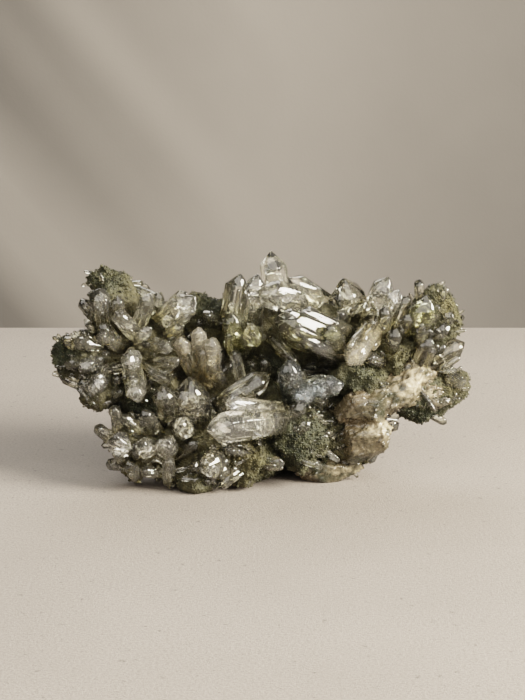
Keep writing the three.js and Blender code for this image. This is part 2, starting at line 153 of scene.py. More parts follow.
# Quartz points that stand free, by CAD node: root, tip, width, flatness and turn about the axis.
CRYSTALS: dict[str, tuple[Quartz, tuple[PointRow, ...]]] = {
    "roof_prism": (Quartz.CLEAR, (((-50, 10, 22), (-33, 4, 14.6), 7.6, 0.9, 10),)),
    "dome_point": (Quartz.CLEAR, (((-56, 1, 6), (-56.7, -8, 21.4), 7.8, 1, 0),)),
    "barrel_point": (Quartz.CLEAR, (((-36, 1, 8), (-23, -8, 18.6), 10.2, 0.85, 8),)),
    "wing_points": (Quartz.CLEAR, (
        ((-54, -1, -6), (-59.4, -14, -15), 8.4, 0.9, 0), ((-54, -2, -4), (-63.6, -14, -6), 6.8, 0.85, 10))),
    "hanging_points": (Quartz.CLEAR, (
        ((-46, -3, -3), (-42.9, -18, -18.4), 7.6, 0.9, 0), ((-45, -2, -2), (-45.6, -20, -4), 7, 1, 15))),
    "pale_fan": (Quartz.MILKY, (
        ((-23, -1, -9), (-29, -9, 4.6), 6.4, 0.7, 0), ((-21, -2, -9), (-22.4, -10, 8), 6.4, 0.75, 5),
        ((-19, -2, -12), (-17.4, -11, 4.4), 7.6, 0.75, 0))),
    "crown_points": (Quartz.CLEAR, (
        ((5.6, 7, 12), (3, 4, 35), 10, 0.95, 18), ((19, 5, 16), (-1.6, -7, 20.5), 11.6, 0.8, 0),
        ((27, 11, 13.6), (8.6, 6, 25.6), 8, 0.8, 10))),
    "twin_points": (Quartz.CLEAR, (
        ((-11, 4, 7), (-7.6, -1, 26.8), 8.4, 0.85, 0), ((-5, 3, 7), (-1.6, -3, 26.6), 8, 0.95, 12))),
    "green_ridge_points": (Quartz.GREEN, (
        ((-9.6, 1, -1), (-10.4, -9, 12.8), 8.4, 0.9, 0), ((-4.4, 1, 2), (-3, -16, 6.2), 8.2, 1, 20))),
    "cross_prism": (Quartz.SMOKY, (((2.6, 0, 4), (12.6, -9, -5.6), 6, 0.7, 0),)),
    "shoulder_block": (Quartz.GREEN, (
        ((33, 0, 0), (4, -14, 10.6), 14, 0.9, 8), ((27, -4, -6), (23.4, -16, 9), 6.6, 0.8, 0))),
    "shield_points": (Quartz.SMOKY, (
        ((-24, -7, -32), (-25.4, -15, -9.2), 14.6, 0.8, 2), ((-31, -8, -28), (-35.2, -16, -12.2), 9, 0.9, 10),
        ((-27, -9, -29), (-27.6, -24, -25.6), 9.4, 1, 0))),
    "diagonal_point": (Quartz.SMOKY, (((-16, -7, -21), (3, -8, -8.4), 8.6, 0.85, 0),)),
    "left_foot_points": (Quartz.CLEAR, (
        ((-47, -14, -38), (-50.6, -25, -29), 8.6, 0.95, 5), ((-40.6, -15, -38), (-40.4, -26, -31.4), 8.2, 1, 0),
        ((-35.6, -15, -37), (-31.8, -26, -31), 7.6, 1, 12))),
    "display_points": (Quartz.CLEAR, (
        ((8, -13, -24.6), (-19, -31, -27), 12, 0.85, 0), ((8, -13, -21), (-12.8, -27, -18.2), 6.4, 0.8, 8))),
    "mirror_crystal": (Quartz.SMOKY, (((-17, -15, -39), (-19.4, -28, -41.6), 12, 0.95, 0),)),
    "blue_points": (Quartz.BLUE, (
        ((11, -8, -15), (28.4, -17, -11.6), 8.6, 0.9, 5), ((11.4, -6, -19), (8.8, -15, -3.4), 9.8, 0.85, 0),
        ((13, -8, -16.6), (14.6, -21, -15.4), 8.4, 1, 20))),
    "roof_block": (Quartz.SMOKY, (((33, 7, 12), (28, 2, 25.4), 12.8, 0.9, 14),)),
    "leaning_points": (Quartz.CLEAR, (
        ((37.5, 4, 10), (44, -3, 25.6), 9, 0.9, 5), ((42, 3, 9), (47.6, -5, 21), 7, 1, 20))),
    "green_dome": (Quartz.GREEN, (((55, 0, 4), (57, -11, 18.4), 12.8, 0.9, 12),)),
    "bright_pillar": (Quartz.MILKY, (((39, -3, 7.6), (29.4, -18, -5.4), 9, 0.95, 0),)),
    "right_edge_prism": (Quartz.SMOKY, (((58, -3, -6), (71, -4, 2.8), 7.4, 0.7, 0),)),
    "rear_left_points": (Quartz.CLEAR, (
        ((-44, 16, 3), (-52, 30, 13), 9, 0.9, 0), ((-41, 16, 3), (-40, 33, 17), 7.8, 0.9, 10))),
    "rear_crest_points": (Quartz.CLEAR, (
        ((0, 22, 4), (3, 36, 22), 9.6, 0.9, 12), ((4.6, 22, 3), (14, 37, 15), 7.4, 1, 5))),
    "rear_right_points": (Quartz.CLEAR, (
        ((44, 13, 4), (50, 28, 17), 9, 0.9, 0), ((46, 13, 2), (58, 27, 5), 7.6, 0.9, 10))),
    "rear_low_points": (Quartz.SMOKY, (
        ((-4, 31, -18), (-8, 39.6, -11), 8, 0.9, 0), ((-2, 31, -20), (6, 40, -20), 7.4, 1, 10))),
}

# Nodes whose points keep large plain faces.
SMOOTH_NODES = ("display_points", "shield_points", "crown_points", "roof_block", "leaning_points", "roof_prism")

# Smaller points grown fast to the rock, in the same form.
DRUSE: tuple[PointRow, ...] = (
    ((28, -3, 5), (7.5, -15.5, 13.2), 4, 0.9, 10),
    ((29, -6, 1), (11, -18.5, 7.4), 4.5, 0.85, 25),
    ((29, -1, 6), (15, -11, 14.2), 3.4, 1, 0),
    ((30, -8, -3), (17.5, -18, 1.5), 4, 0.9, 40),
    ((-59, 3, 10.9), (-63.9, -1.2, 17.8), 4.5, 1, 20),
    ((-42.2, -4.7, 4.8), (-51.2, -10.9, 13.3), 5.6, 1, 0),
    ((-44.6, -2.2, 8.7), (-38.9, -8.2, 19.2), 5.4, 1, 25),
    ((-38, 4, 10), (-36, -2, 20.4), 4.3, 1, 12),
    ((-50.5, -2.3, 7), (-50, -8.1, 18.7), 4.5, 1, 10),
    ((-50.4, -3.6, 1.1), (-56.4, -8.8, 9.5), 5, 1, 30),
    ((-61.4, -2.2, -0.8), (-69.7, -7, 3.9), 4.3, 0.9, 0),
    ((-55, -5.5, 1), (-65.6, -10.9, 2.6), 5, 1, 20),
    ((-46.9, -5, -6.1), (-57.3, -10.3, -7.5), 4.3, 1, 12),
    ((-43.6, -5.4, -5.9), (-31.9, -12, -12), 4.8, 0.85, 0),
    ((-40.1, -4.8, -4.7), (-28.6, -10.5, -3.8), 4.5, 0.85, 20),
    ((-40.8, -4.7, 2.9), (-31, -9.7, 0.1), 4.8, 1, 5),
    ((-48, -5.4, -0.7), (-57.5, -11, 5.3), 4.3, 1, 0),
    ((-46.2, -5, 0.4), (-38.7, -10.4, 8), 4.6, 1, 10),
    ((-58.5, -3.5, -5.7), (-69.3, -8.9, -4.4), 4.5, 1, 25),
    ((-36.5, -1.5, 3.2), (-27.3, -6.9, 8.9), 4.5, 1, 0),
    ((-13.1, -0.9, -15.8), (-19.5, -8.7, -1.5), 5.1, 1, 20),
    ((-6.9, 0.7, -13.4), (-10, -6.2, 0.1), 4.3, 0.9, 0),
    ((2, 4, -14), (0.8, -4, -3), 4.3, 0.9, 10),
    ((19.1, -4.6, -5.3), (17.8, -9.8, 5), 5.3, 1, 20),
    ((6.7, -12.2, -27.3), (14.8, -18.3, -18.2), 5.1, 1, 0),
    ((5.7, -13.1, -31.3), (16.5, -19.4, -24.8), 5.3, 1, 15),
    ((11.1, 5.4, 11.6), (11, 0.3, 21.7), 5.1, 1, 0),
    ((-13.7, 5.3, 6.6), (-21.3, 0.3, 13), 4.6, 1, 15),
    ((-49, -10, -31), (-52, -14, -19), 4.6, 0.9, 0),
    ((-40.3, -12.8, -30.4), (-49.1, -18.6, -22.7), 4.8, 0.9, 10),
    ((-34.6, -11, -31.6), (-41.4, -17.4, -20.6), 5.6, 1, 20),
    ((-51, -9, -34), (-58.8, -11, -26.4), 4.5, 1, 0),
    ((-41.5, -17.5, -45.5), (-46.6, -21.8, -38.5), 5.4, 1, 25),
    ((-32.1, -15.8, -46.1), (-32.6, -20.6, -36.4), 5.1, 1, 5),
    ((-45.3, -13.8, -40.6), (-54.6, -18.5, -39.5), 4.6, 1, 0),
    ((-33.9, -15.8, -44.6), (-42.9, -20.6, -41.8), 4.8, 1, 20),
    ((-31.2, -13.4, -39.2), (-22.4, -19.1, -31.8), 4.8, 1, 10),
    ((-41.9, -11.4, -31.7), (-41, -16, -22.6), 4.5, 1, 0),
    ((-3.6, -16.3, -35.8), (-13.2, -21.1, -34.3), 4.3, 1, 0),
    ((-6.3, -16.6, -41.7), (-14.6, -21.7, -47.6), 4.5, 0.6, 20),
    ((-0.2, -16.1, -40.1), (7.9, -20.2, -39.1), 4.8, 1, 0),
    ((14, -3.8, -10.4), (25.2, -10.8, -1.9), 5.1, 0.8, 10),
    ((46, 1, 8), (50.8, -5, 19), 4.6, 1, 0),
    ((55, 5, 17), (55, 2, 25), 4.1, 1, 0),
    ((46.9, -4.4, 2.4), (51.8, -10, 12.4), 5.3, 1, 0),
    ((54.1, -3.6, -7.2), (58.8, -9.8, 4.2), 5.9, 0.9, 0),
    ((43.8, -5.8, -1.4), (46.7, -10.5, 7.5), 5.3, 1, 5),
    ((42.5, -7.8, -4.4), (35.4, -11.5, -2.5), 4.8, 1, 10),
    ((55.3, -2.3, 2.7), (65.4, -8.1, 8.2), 5.1, 1, 0),
    ((61.7, -1.9, 5.3), (66.1, -6.5, 13.4), 4.8, 1, 15),
    ((37, -4.6, -3.8), (30.7, -9.8, 4.5), 4.8, 1, 5),
    ((43.1, -3.1, 5), (42.5, -8.2, 15.2), 4.8, 1, 0),
    ((63.8, -3.6, -9.7), (71.7, -7.6, -10.7), 5.4, 1, 10),
    ((-49, 16, -4), (-60, 26, -6), 5.9, 0.9, 20),
    ((-12, 25, 2), (-18, 34, 11), 5.6, 0.9, 15),
    ((41, 9, -5), (50, 26, -11), 5.9, 0.9, 0),
    ((-27, 29, -12), (-36, 38, -17), 6.2, 0.9, 10),
    ((24, 31, -12), (31, 39, -16), 6.2, 1, 0),
    ((9, 26, -4), (15, 39, 4), 6.1, 0.9, 20),
)

# Patches of the front view: across, seen height, reach, strength.
Patch = tuple[float, float, float, float]

# Where the crust is bare of points: curled chlorite at the bottom, the granular bands and the knobs.
BARE_PATCHES: tuple[Patch, ...] = (
    (13, -31, 10, 1.0),
    (3, -40, 8, 0.9),
    (45, -2, 7, 0.9),
    (36, -8, 6, 0.9),
    (63, 15, 9, 1.0),
    (66, -13, 8, 1.0),
    (-72, -2, 6, 1.0),
    (-20, 15, 8, 0.9),
    (-55, 27, 8, 1.0),
    (-44, -18, 7, 0.8),
    (-47, -44, 5, 0.7),
    (55, -24, 8, 1.0),
    (4, -6, 7, 0.6),
)

# Where the chlorite is yellow-green, and where it is dark.
GOLDEN_PATCHES: tuple[Patch, ...] = (
    (65, 15, 6, 0.5),
    (46, -1, 6, 0.4),
    (-48, -43, 7, 1.0),
    (-6, -37, 6, 0.7),
    (-16, -36, 5, 0.5),
    (-45, 20, 3, 0.3),
    (-16, -15, 4, 0.6),
    (68, -12, 5, 0.5),
)
DARK_PATCHES: tuple[Patch, ...] = (
    (-70, 0, 7, 1.0),
    (-52, 26, 7, 0.7),
    (-19, 15, 8, 1.0),
    (6, -6, 9, 0.9),
    (-43, -18, 8, 1.0),
    (16, -28, 9, 0.8),
    (30, -12, 7, 0.7),
    (55, -24, 9, 1.0),
    (-18, -46, 6, 0.6),
    (53, 12, 6, 0.8),
    (47, 5, 6, 0.5),
    (62, 2, 5, 0.6),
    (-45, -2, 4, 0.4),
)


def chance(seed: np.ndarray | float, count: np.ndarray | float) -> np.ndarray:
    """Gives repeatable numbers from 0 to 1: what is left after the point of a large multiple of a sine.

    Args:
        seed: a number, or an array of them.
        count: which number of the run, or an array of them.

    Returns:
        The numbers, in the arrays' common shape.
    """
    value = np.sin(np.asarray(seed, float) * 12.9898 + np.asarray(count, float) * 78.233) * 43758.5453
    return value - np.floor(value)


def front_view(rows: np.ndarray | Place) -> np.ndarray:
    """Turns rows of across, depth and seen height into points of the model, in mm.

    Args:
        rows: places in the front view; the height is as seen from 12 degrees above the horizon.

    Returns:
        Points whose height is the view's middle, plus the seen height over the tilt's cosine, less the depth
        times the tilt's tangent.
    """
    places = np.asarray(rows, float)
    height = VIEW_MIDDLE + places[..., 2] / math.cos(VIEW_TILT) - places[..., 1] * math.tan(VIEW_TILT)
    return np.stack((places[..., 0] - OUTLINE_MIDDLE[0], places[..., 1] - OUTLINE_MIDDLE[1], height), -1)


def seen_in_front(points: np.ndarray) -> tuple[np.ndarray, np.ndarray]:
    """Gives across and seen height in the front view for points of the model in mm: front_view turned round.

    Args:
        points: rows of x, y and z in mm.

    Returns:
        The across values and the seen heights.
    """
    depth = points[..., 1] + OUTLINE_MIDDLE[1]
    rise = points[..., 2] - VIEW_MIDDLE + depth * math.tan(VIEW_TILT)
    return points[..., 0] + OUTLINE_MIDDLE[0], rise * math.cos(VIEW_TILT)


def patch_weight(points: np.ndarray, patches: tuple[Patch, ...]) -> np.ndarray:
    """Adds up round soft patches of the front view: each falls off as a bell curve of the distance to its middle.

    Args:
        points: rows of x, y and z in mm.
        patches: the patches to add.

    Returns:
        A weight from 0 to 1 for each point.
    """
    across, seen = seen_in_front(points)
    table = np.asarray(patches, float)
    apart = (across[:, None] - table[:, 0]) ** 2 + (seen[:, None] - table[:, 1]) ** 2
    return np.clip((table[:, 3] * np.exp(-apart / table[:, 2] ** 2)).sum(1), 0, 1)


def seed_of(first: np.ndarray, second: np.ndarray) -> float:
    """Gives a number of its own for two places: fixed weights times their coordinates."""
    return float(first @ np.array([0.37, 0.61, 0.23]) + second @ np.array([0.71, 0.43, 0.31]))


def unit(rows: np.ndarray) -> np.ndarray:
    """Gives rows of length one: each row over its own length."""
    return rows / np.maximum(np.linalg.norm(rows, axis=-1, keepdims=True), 1e-12)


@lru_cache(maxsize=None)
def triples(count: int) -> np.ndarray:
    """Gives every three of a number of faces, as rows of indices."""
    return np.array(list(combinations(range(count), 3)))


class Relief:
    """Repeatable noise on points, read from a fixed table of random numbers that repeats in every direction."""

    SIZE = 64

    def __init__(self, seed: int) -> None:
        """Fills the tables.

        Args:
            seed: the number that the tables are drawn from.
        """
        draw = np.random.default_rng(seed)
        self.heights = draw.random((self.SIZE,) * 3)
        self.places = draw.random((self.SIZE,) * 3 + (3,))

    def smooth(self, points: np.ndarray, size: float) -> np.ndarray:
        """Gives soft noise: the random heights of the eight lattice corners round a point, eased between them.

        Args:
            points: rows of x, y and z in mm.
            size: the lattice's step in mm.

        Returns:
            Heights from -1 to 1.
        """
        scaled = points / size
        cell = np.floor(scaled).astype(int)
        part = scaled - cell
        ease = part * part * (3 - 2 * part)
        total = np.zeros(len(points))
        for corner in np.ndindex(2, 2, 2):
            at = (cell + corner) % self.SIZE
            share = np.where(corner, ease, 1 - ease).prod(1)
            total += share * self.heights[at[:, 0], at[:, 1], at[:, 2]]
        return 2 * total - 1

    def rough(self, points: np.ndarray, size: float, octaves: int) -> np.ndarray:
        """Adds up soft noise at halved sizes and halved heights.

        Args:
            points: rows of x, y and z in mm.
            size: the largest lattice step in mm.
            octaves: how many sizes are added.

        Returns:
            Heights of about -1 to 1.
        """
        layers = range(octaves)
        return sum(self.smooth(points + 17.3 * k, size / 2**k) / 2**k for k in layers) / 1.6

    def neighbours(self, scaled: np.ndarray) -> Iterator[tuple[np.ndarray, np.ndarray]]:
        """Walks over the 27 cells round each point.

        Args:
            scaled: rows of x, y and z in cells.

        Yields:
            The cell's corner and the random place within the cell, for each point.
        """
        cell = np.floor(scaled).astype(int)
        for step in np.ndindex(3, 3, 3):
            at = cell + np.array(step) - 1
            wrapped = at % self.SIZE
            yield at, self.places[wrapped[:, 0], wrapped[:, 1], wrapped[:, 2]]

    def splinters(self, points: np.ndarray, size: float) -> np.ndarray:
        """Gives broken flats: within each cell a plane of its own slope, through a height of its own.

        Args:
            points: rows of x, y and z in mm.
            size: the cell's side in mm.

        Returns:
            Heights of about -1 to 1, with a small cliff where two cells meet.
        """
        scaled = points / size
        nearest = np.full(len(points), 9.0)
        height = np.zeros(len(points))
        for at, draw in self.neighbours(scaled):
            away = scaled - at - draw
            apart = np.linalg.norm(away, axis=1)
            plane = ((draw[:, ::-1] - 0.5) * away).sum(1) * 2.4 + (draw[:, 1] - 0.5)
            height = np.where(apart < nearest, plane, height)
            nearest = np.minimum(nearest, apart)
        return height

    def grains(self, points: np.ndarray, size: float) -> np.ndarray:
        """Gives cell noise: how far each point is from the nearest of one random place a cell.

        Args:
            points: rows of x, y and z in mm.
            size: the cell's side in mm.

        Returns:
            The distance, in cells.
        """
        scaled = points / size
        nearest = np.full(len(points), 9.0)
        for at, draw in self.neighbours(scaled):
            nearest = np.minimum(nearest, np.linalg.norm(at + draw - scaled, axis=1))
        return nearest


@dataclass
class ConvexSolid:
    """The solid behind a set of flat faces, each a normal and a distance from the origin, in mm."""

    normals: np.ndarray
    distances: np.ndarray

    def corners(self) -> np.ndarray:
        """Finds the corners: where three faces meet, unless another face cuts that place off."""
        picks = triples(len(self.normals))
        faces = self.normals[picks]
        span = np.abs(np.linalg.det(faces))
        picks, faces = picks[span > LEAST_SPAN], faces[span > LEAST_SPAN]
        found = np.linalg.solve(faces, self.distances[picks][..., None])[..., 0]
        found = found[(found @ self.normals.T <= self.distances + 1e-6).all(1)]
        near = np.linalg.norm(found[:, None] - found[None], axis=2) < SAME_CORNER
        return found[np.unique(near.argmax(1))]

    def rings(self, corners: np.ndarray) -> list[tuple[int, np.ndarray]]:
        """Orders each face's corners by their angle round the face's middle.

        Args:
            corners: the solid's corners.

        Returns:
            The index of each face that shows, with its ring of corners, seen from outside anticlockwise.
        """
        on_face = np.abs(corners @ self.normals.T - self.distances) < ON_FACE
        found = []
        for face in range(len(self.normals)):
            ring = np.flatnonzero(on_face[:, face])
            if len(ring) < 3:
                continue
            normal = self.normals[face]
            side = unit(np.cross(normal, np.eye(3)[np.abs(normal).argmin()]))
            spread = corners[ring] - corners[ring].mean(0)
            angle = np.arctan2(spread @ np.cross(normal, side), spread @ side)
            found.append((face, ring[np.argsort(angle)]))
        return found

    def chamfered(self, depth: float) -> "ConvexSolid":
        """Adds a narrow face along each edge, leaning evenly between the two faces that meet there.

        Args:
            depth: how far the edge is cut back, in mm.

        Returns:
            The solid with its edges cut.
        """
        corners = self.corners()
        on_face = np.abs(corners @ self.normals.T - self.distances) < ON_FACE
        shared = on_face.T.astype(int) @ on_face.astype(int)
        first, second = np.nonzero(np.triu(shared >= 2, 1))
        lean = unit(self.normals[first] + self.normals[second])
        members = on_face[:, first] & on_face[:, second]
        middle = (members.T @ corners) / members.sum(0)[:, None]
        reach = (lean * middle).sum(1) - depth
        return ConvexSolid(np.vstack((self.normals, lean)), np.concatenate((self.distances, reach)))


@dataclass
class Gathered:
    """Vertices, faces and attributes that are collected for one mesh."""

    vertices: list[np.ndarray] = field(default_factory=list)
    loops: list[np.ndarray] = field(default_factory=list)
    sizes: list[np.ndarray] = field(default_factory=list)
    point_data: dict[str, list[np.ndarray]] = field(default_factory=dict)
    face_data: dict[str, list[np.ndarray]] = field(default_factory=dict)
    count: int = 0

    def add(self, vertices: np.ndarray, loops: np.ndarray, sizes: np.ndarray, **data: np.ndarray) -> None:
        """Adds one closed shell.

        Args:
            vertices: rows of x, y and z in mm.
            loops: the faces' vertex indices in one row, counted from this shell's first vertex.
            sizes: how many of them each face has.
            data: attributes by name, one value or row a vertex, or a face where the name starts with face_.
        """
        self.vertices.append(vertices)
        self.loops.append(loops + self.count)
        self.sizes.append(sizes)
        self.count += len(vertices)
        for name, values in data.items():
            store = self.face_data if name.startswith("face_") else self.point_data
            store.setdefault(name.removeprefix("face_"), []).append(np.asarray(values, float))

    def mesh(self, name: str) -> bpy.types.Mesh:
        """Writes the mesh, in metres.

        Args:
            name: the mesh's name.

        Returns:
            The mesh, with its attributes.
        """
        points = np.concatenate(self.vertices) * MM
        loops = np.concatenate(self.loops).astype(np.int32)
        sizes = np.concatenate(self.sizes).astype(np.int32)
        mesh = bpy.data.meshes.new(name)
        mesh.vertices.add(len(points))
        mesh.vertices.foreach_set("co", points.astype(np.float32).ravel())
        mesh.loops.add(len(loops))
        mesh.loops.foreach_set("vertex_index", loops)
        mesh.polygons.add(len(sizes))
        mesh.polygons.foreach_set("loop_start", np.concatenate(([0], np.cumsum(sizes)[:-1])).astype(np.int32))
        mesh.update(calc_edges=True)
        mesh.validate()
        for domain, stored in (("POINT", self.point_data), ("FACE", self.face_data)):
            for label, parts in stored.items():
                values = np.concatenate(parts).astype(np.float32)
                kind, key = ("FLOAT_VECTOR", "vector") if values.ndim == 2 else ("FLOAT", "value")
                mesh.attributes.new(label, kind, domain).data.foreach_set(key, values.ravel())
        return mesh


def show(mesh: bpy.types.Mesh, material: bpy.types.Material) -> bpy.types.Object:
    """Puts a mesh into the scene as a piece that rides on the cluster's one body.

    Args:
        mesh: the finished mesh, in metres.
        material: its finish.

    Returns:
        The piece.
    """
    piece = bpy.data.objects.new(mesh.name, mesh)
    bpy.context.scene.collection.objects.link(piece)
    mesh.materials.append(material)
    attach(piece, "root")
    faces = sum(max(len(polygon.vertices) - 2, 0) for polygon in mesh.polygons)
    LOG.info("%s: %d triangles, %s", mesh.name, faces, material.name)
    return piece


def voxel_skin(parts: Gathered, step: float) -> tuple[np.ndarray, np.ndarray]:
    """Makes one skin round solids that overlap, by voxels.

    Args:
        parts: the closed solids.
        step: the voxels' side in mm.

    Returns:
        The skin's vertices in mm and its faces of four.
    """
    work = bpy.data.objects.new("voxel_work", parts.mesh("voxel_work"))
    bpy.context.scene.collection.objects.link(work)
    join = work.modifiers.new("join", "REMESH")
    join.mode = "VOXEL"
    join.voxel_size = step * MM
    shown = work.evaluated_get(bpy.context.evaluated_depsgraph_get())
    skin = bpy.data.meshes.new_from_object(shown)
    points = np.empty(len(skin.vertices) * 3, np.float32)
    skin.vertices.foreach_get("co", points)
    quads = np.empty(len(skin.loops), np.int32)
    skin.loops.foreach_get("vertex_index", quads)
    old = work.data
    bpy.data.objects.remove(work)
    bpy.data.meshes.remove(old)
    bpy.data.meshes.remove(skin)
    return points.reshape(-1, 3).astype(float) / MM, quads.reshape(-1, 4)


def vertex_normals(points: np.ndarray, quads: np.ndarray) -> np.ndarray:
    """Gives each vertex the normal of the faces round it: the sum of their crossed diagonals."""
    ring = points[quads]
    across = np.cross(ring[:, 2] - ring[:, 0], ring[:, 3] - ring[:, 1])
    total = np.zeros_like(points)
    for corner in range(4):
        np.add.at(total, quads[:, corner], across)
    return unit(total)


def quad_shell(points: np.ndarray, quads: np.ndarray, **data: np.ndarray) -> Gathered:
    """Gathers one skin of faces of four with its attributes."""
    shell = Gathered()
    shell.add(points, quads.ravel(), np.full(len(quads), 4), **data)
    return shell


@dataclass
class RockLump:
    """A lump of broken rock: a ball of unevenly spaced flat faces, stretched to its half sizes, cut at z = 0."""

    centre: np.ndarray
    halves: np.ndarray
    tilt: float = 0.0
    shrink: float = 0.0

    def solid(self) -> ConvexSolid:
        """Works out the faces: normals on a golden spiral, each pulled in by a chance share of the radius."""
        seed = seed_of(self.centre, self.halves)
        count = np.arange(LUMP_FACES)
        rise = 1 - 2 * (count + 0.5) / LUMP_FACES
        angle = count * GOLDEN_ANGLE + chance(seed, count) * ROCK_STRAY
        ring = np.sqrt(1 - rise * rise)
        direction = np.stack((ring * np.cos(angle), ring * np.sin(angle), rise), 1)
        reach = 1 - ROCK_VARIATION * chance(seed, count + LUMP_FACES)
        normals = direction / self.halves
        scale = np.linalg.norm(normals, axis=1)
        normals = normals / scale[:, None]
        turn = math.radians(-self.tilt)
        spin = np.array([[math.cos(turn), 0, math.sin(turn)], [0, 1, 0], [-math.sin(turn), 0, math.cos(turn)]])
        normals = normals @ spin.T
        distances = reach / scale + normals @ self.centre - self.shrink
        ground = np.array([[0.0, 0.0, -1.0]])
        return ConvexSolid(np.vstack((normals, ground)), np.append(distances, 0.0))


def lump_skin(lumps: list[RockLump], step: float) -> tuple[np.ndarray, np.ndarray]:
    """Makes one skin round lumps.

    Args:
        lumps: the lumps, which overlap.
        step: the voxels' side in mm.

    Returns:
        The skin's vertices in mm and its faces of four.
    """
    parts = Gathered()
    for lump in lumps:
        solid = lump.solid()
        corners = solid.corners()
        rings = [ring for _, ring in solid.rings(corners)]
        parts.add(corners, np.concatenate(rings), np.array([len(ring) for ring in rings]))
    return voxel_skin(parts, step)


def pushed(points: np.ndarray, quads: np.ndarray, height: np.ndarray, rise: float) -> np.ndarray:
    """Moves a skin's vertices along their normals, less and less towards the ground, and not at all on it.

    Args:
        points: the skin's vertices in mm.
        quads: its faces of four.
        height: how far each vertex goes, in mm.
        rise: over which height above the ground the movement grows to its full, in mm.

    Returns:
        The moved vertices.
    """
    fade = np.clip((points[:, 2] - 0.3) / rise, 0, 1)
    moved = points + vertex_normals(points, quads) * (height * fade)[:, None]
    moved[:, 2] = np.where(points[:, 2] < 0.4, points[:, 2], np.maximum(moved[:, 2], 0.0))
    return moved


def one_a_cell(points: np.ndarray, spacing: float, draw: np.random.Generator) -> np.ndarray:
    """Picks one vertex by chance in each cell of a grid.

    Args:
        points: the vertices in mm.
        spacing: the cell's side in mm.
        draw: the source of chance.

    Returns:
        The indices of the picked vertices.
    """
    order = draw.permutation(len(points))
    cells = np.floor(points[order] / spacing).astype(int)
    _, first = np.unique(cells, axis=0, return_index=True)
    return order[first]


def within(places: np.ndarray, box: np.ndarray) -> np.ndarray:
    """Tells which places lie inside a box, given by its two corners, with the margin kept."""
    return ((places > box[0] + BOX_MARGIN) & (places < box[1] - BOX_MARGIN)).all(-1)


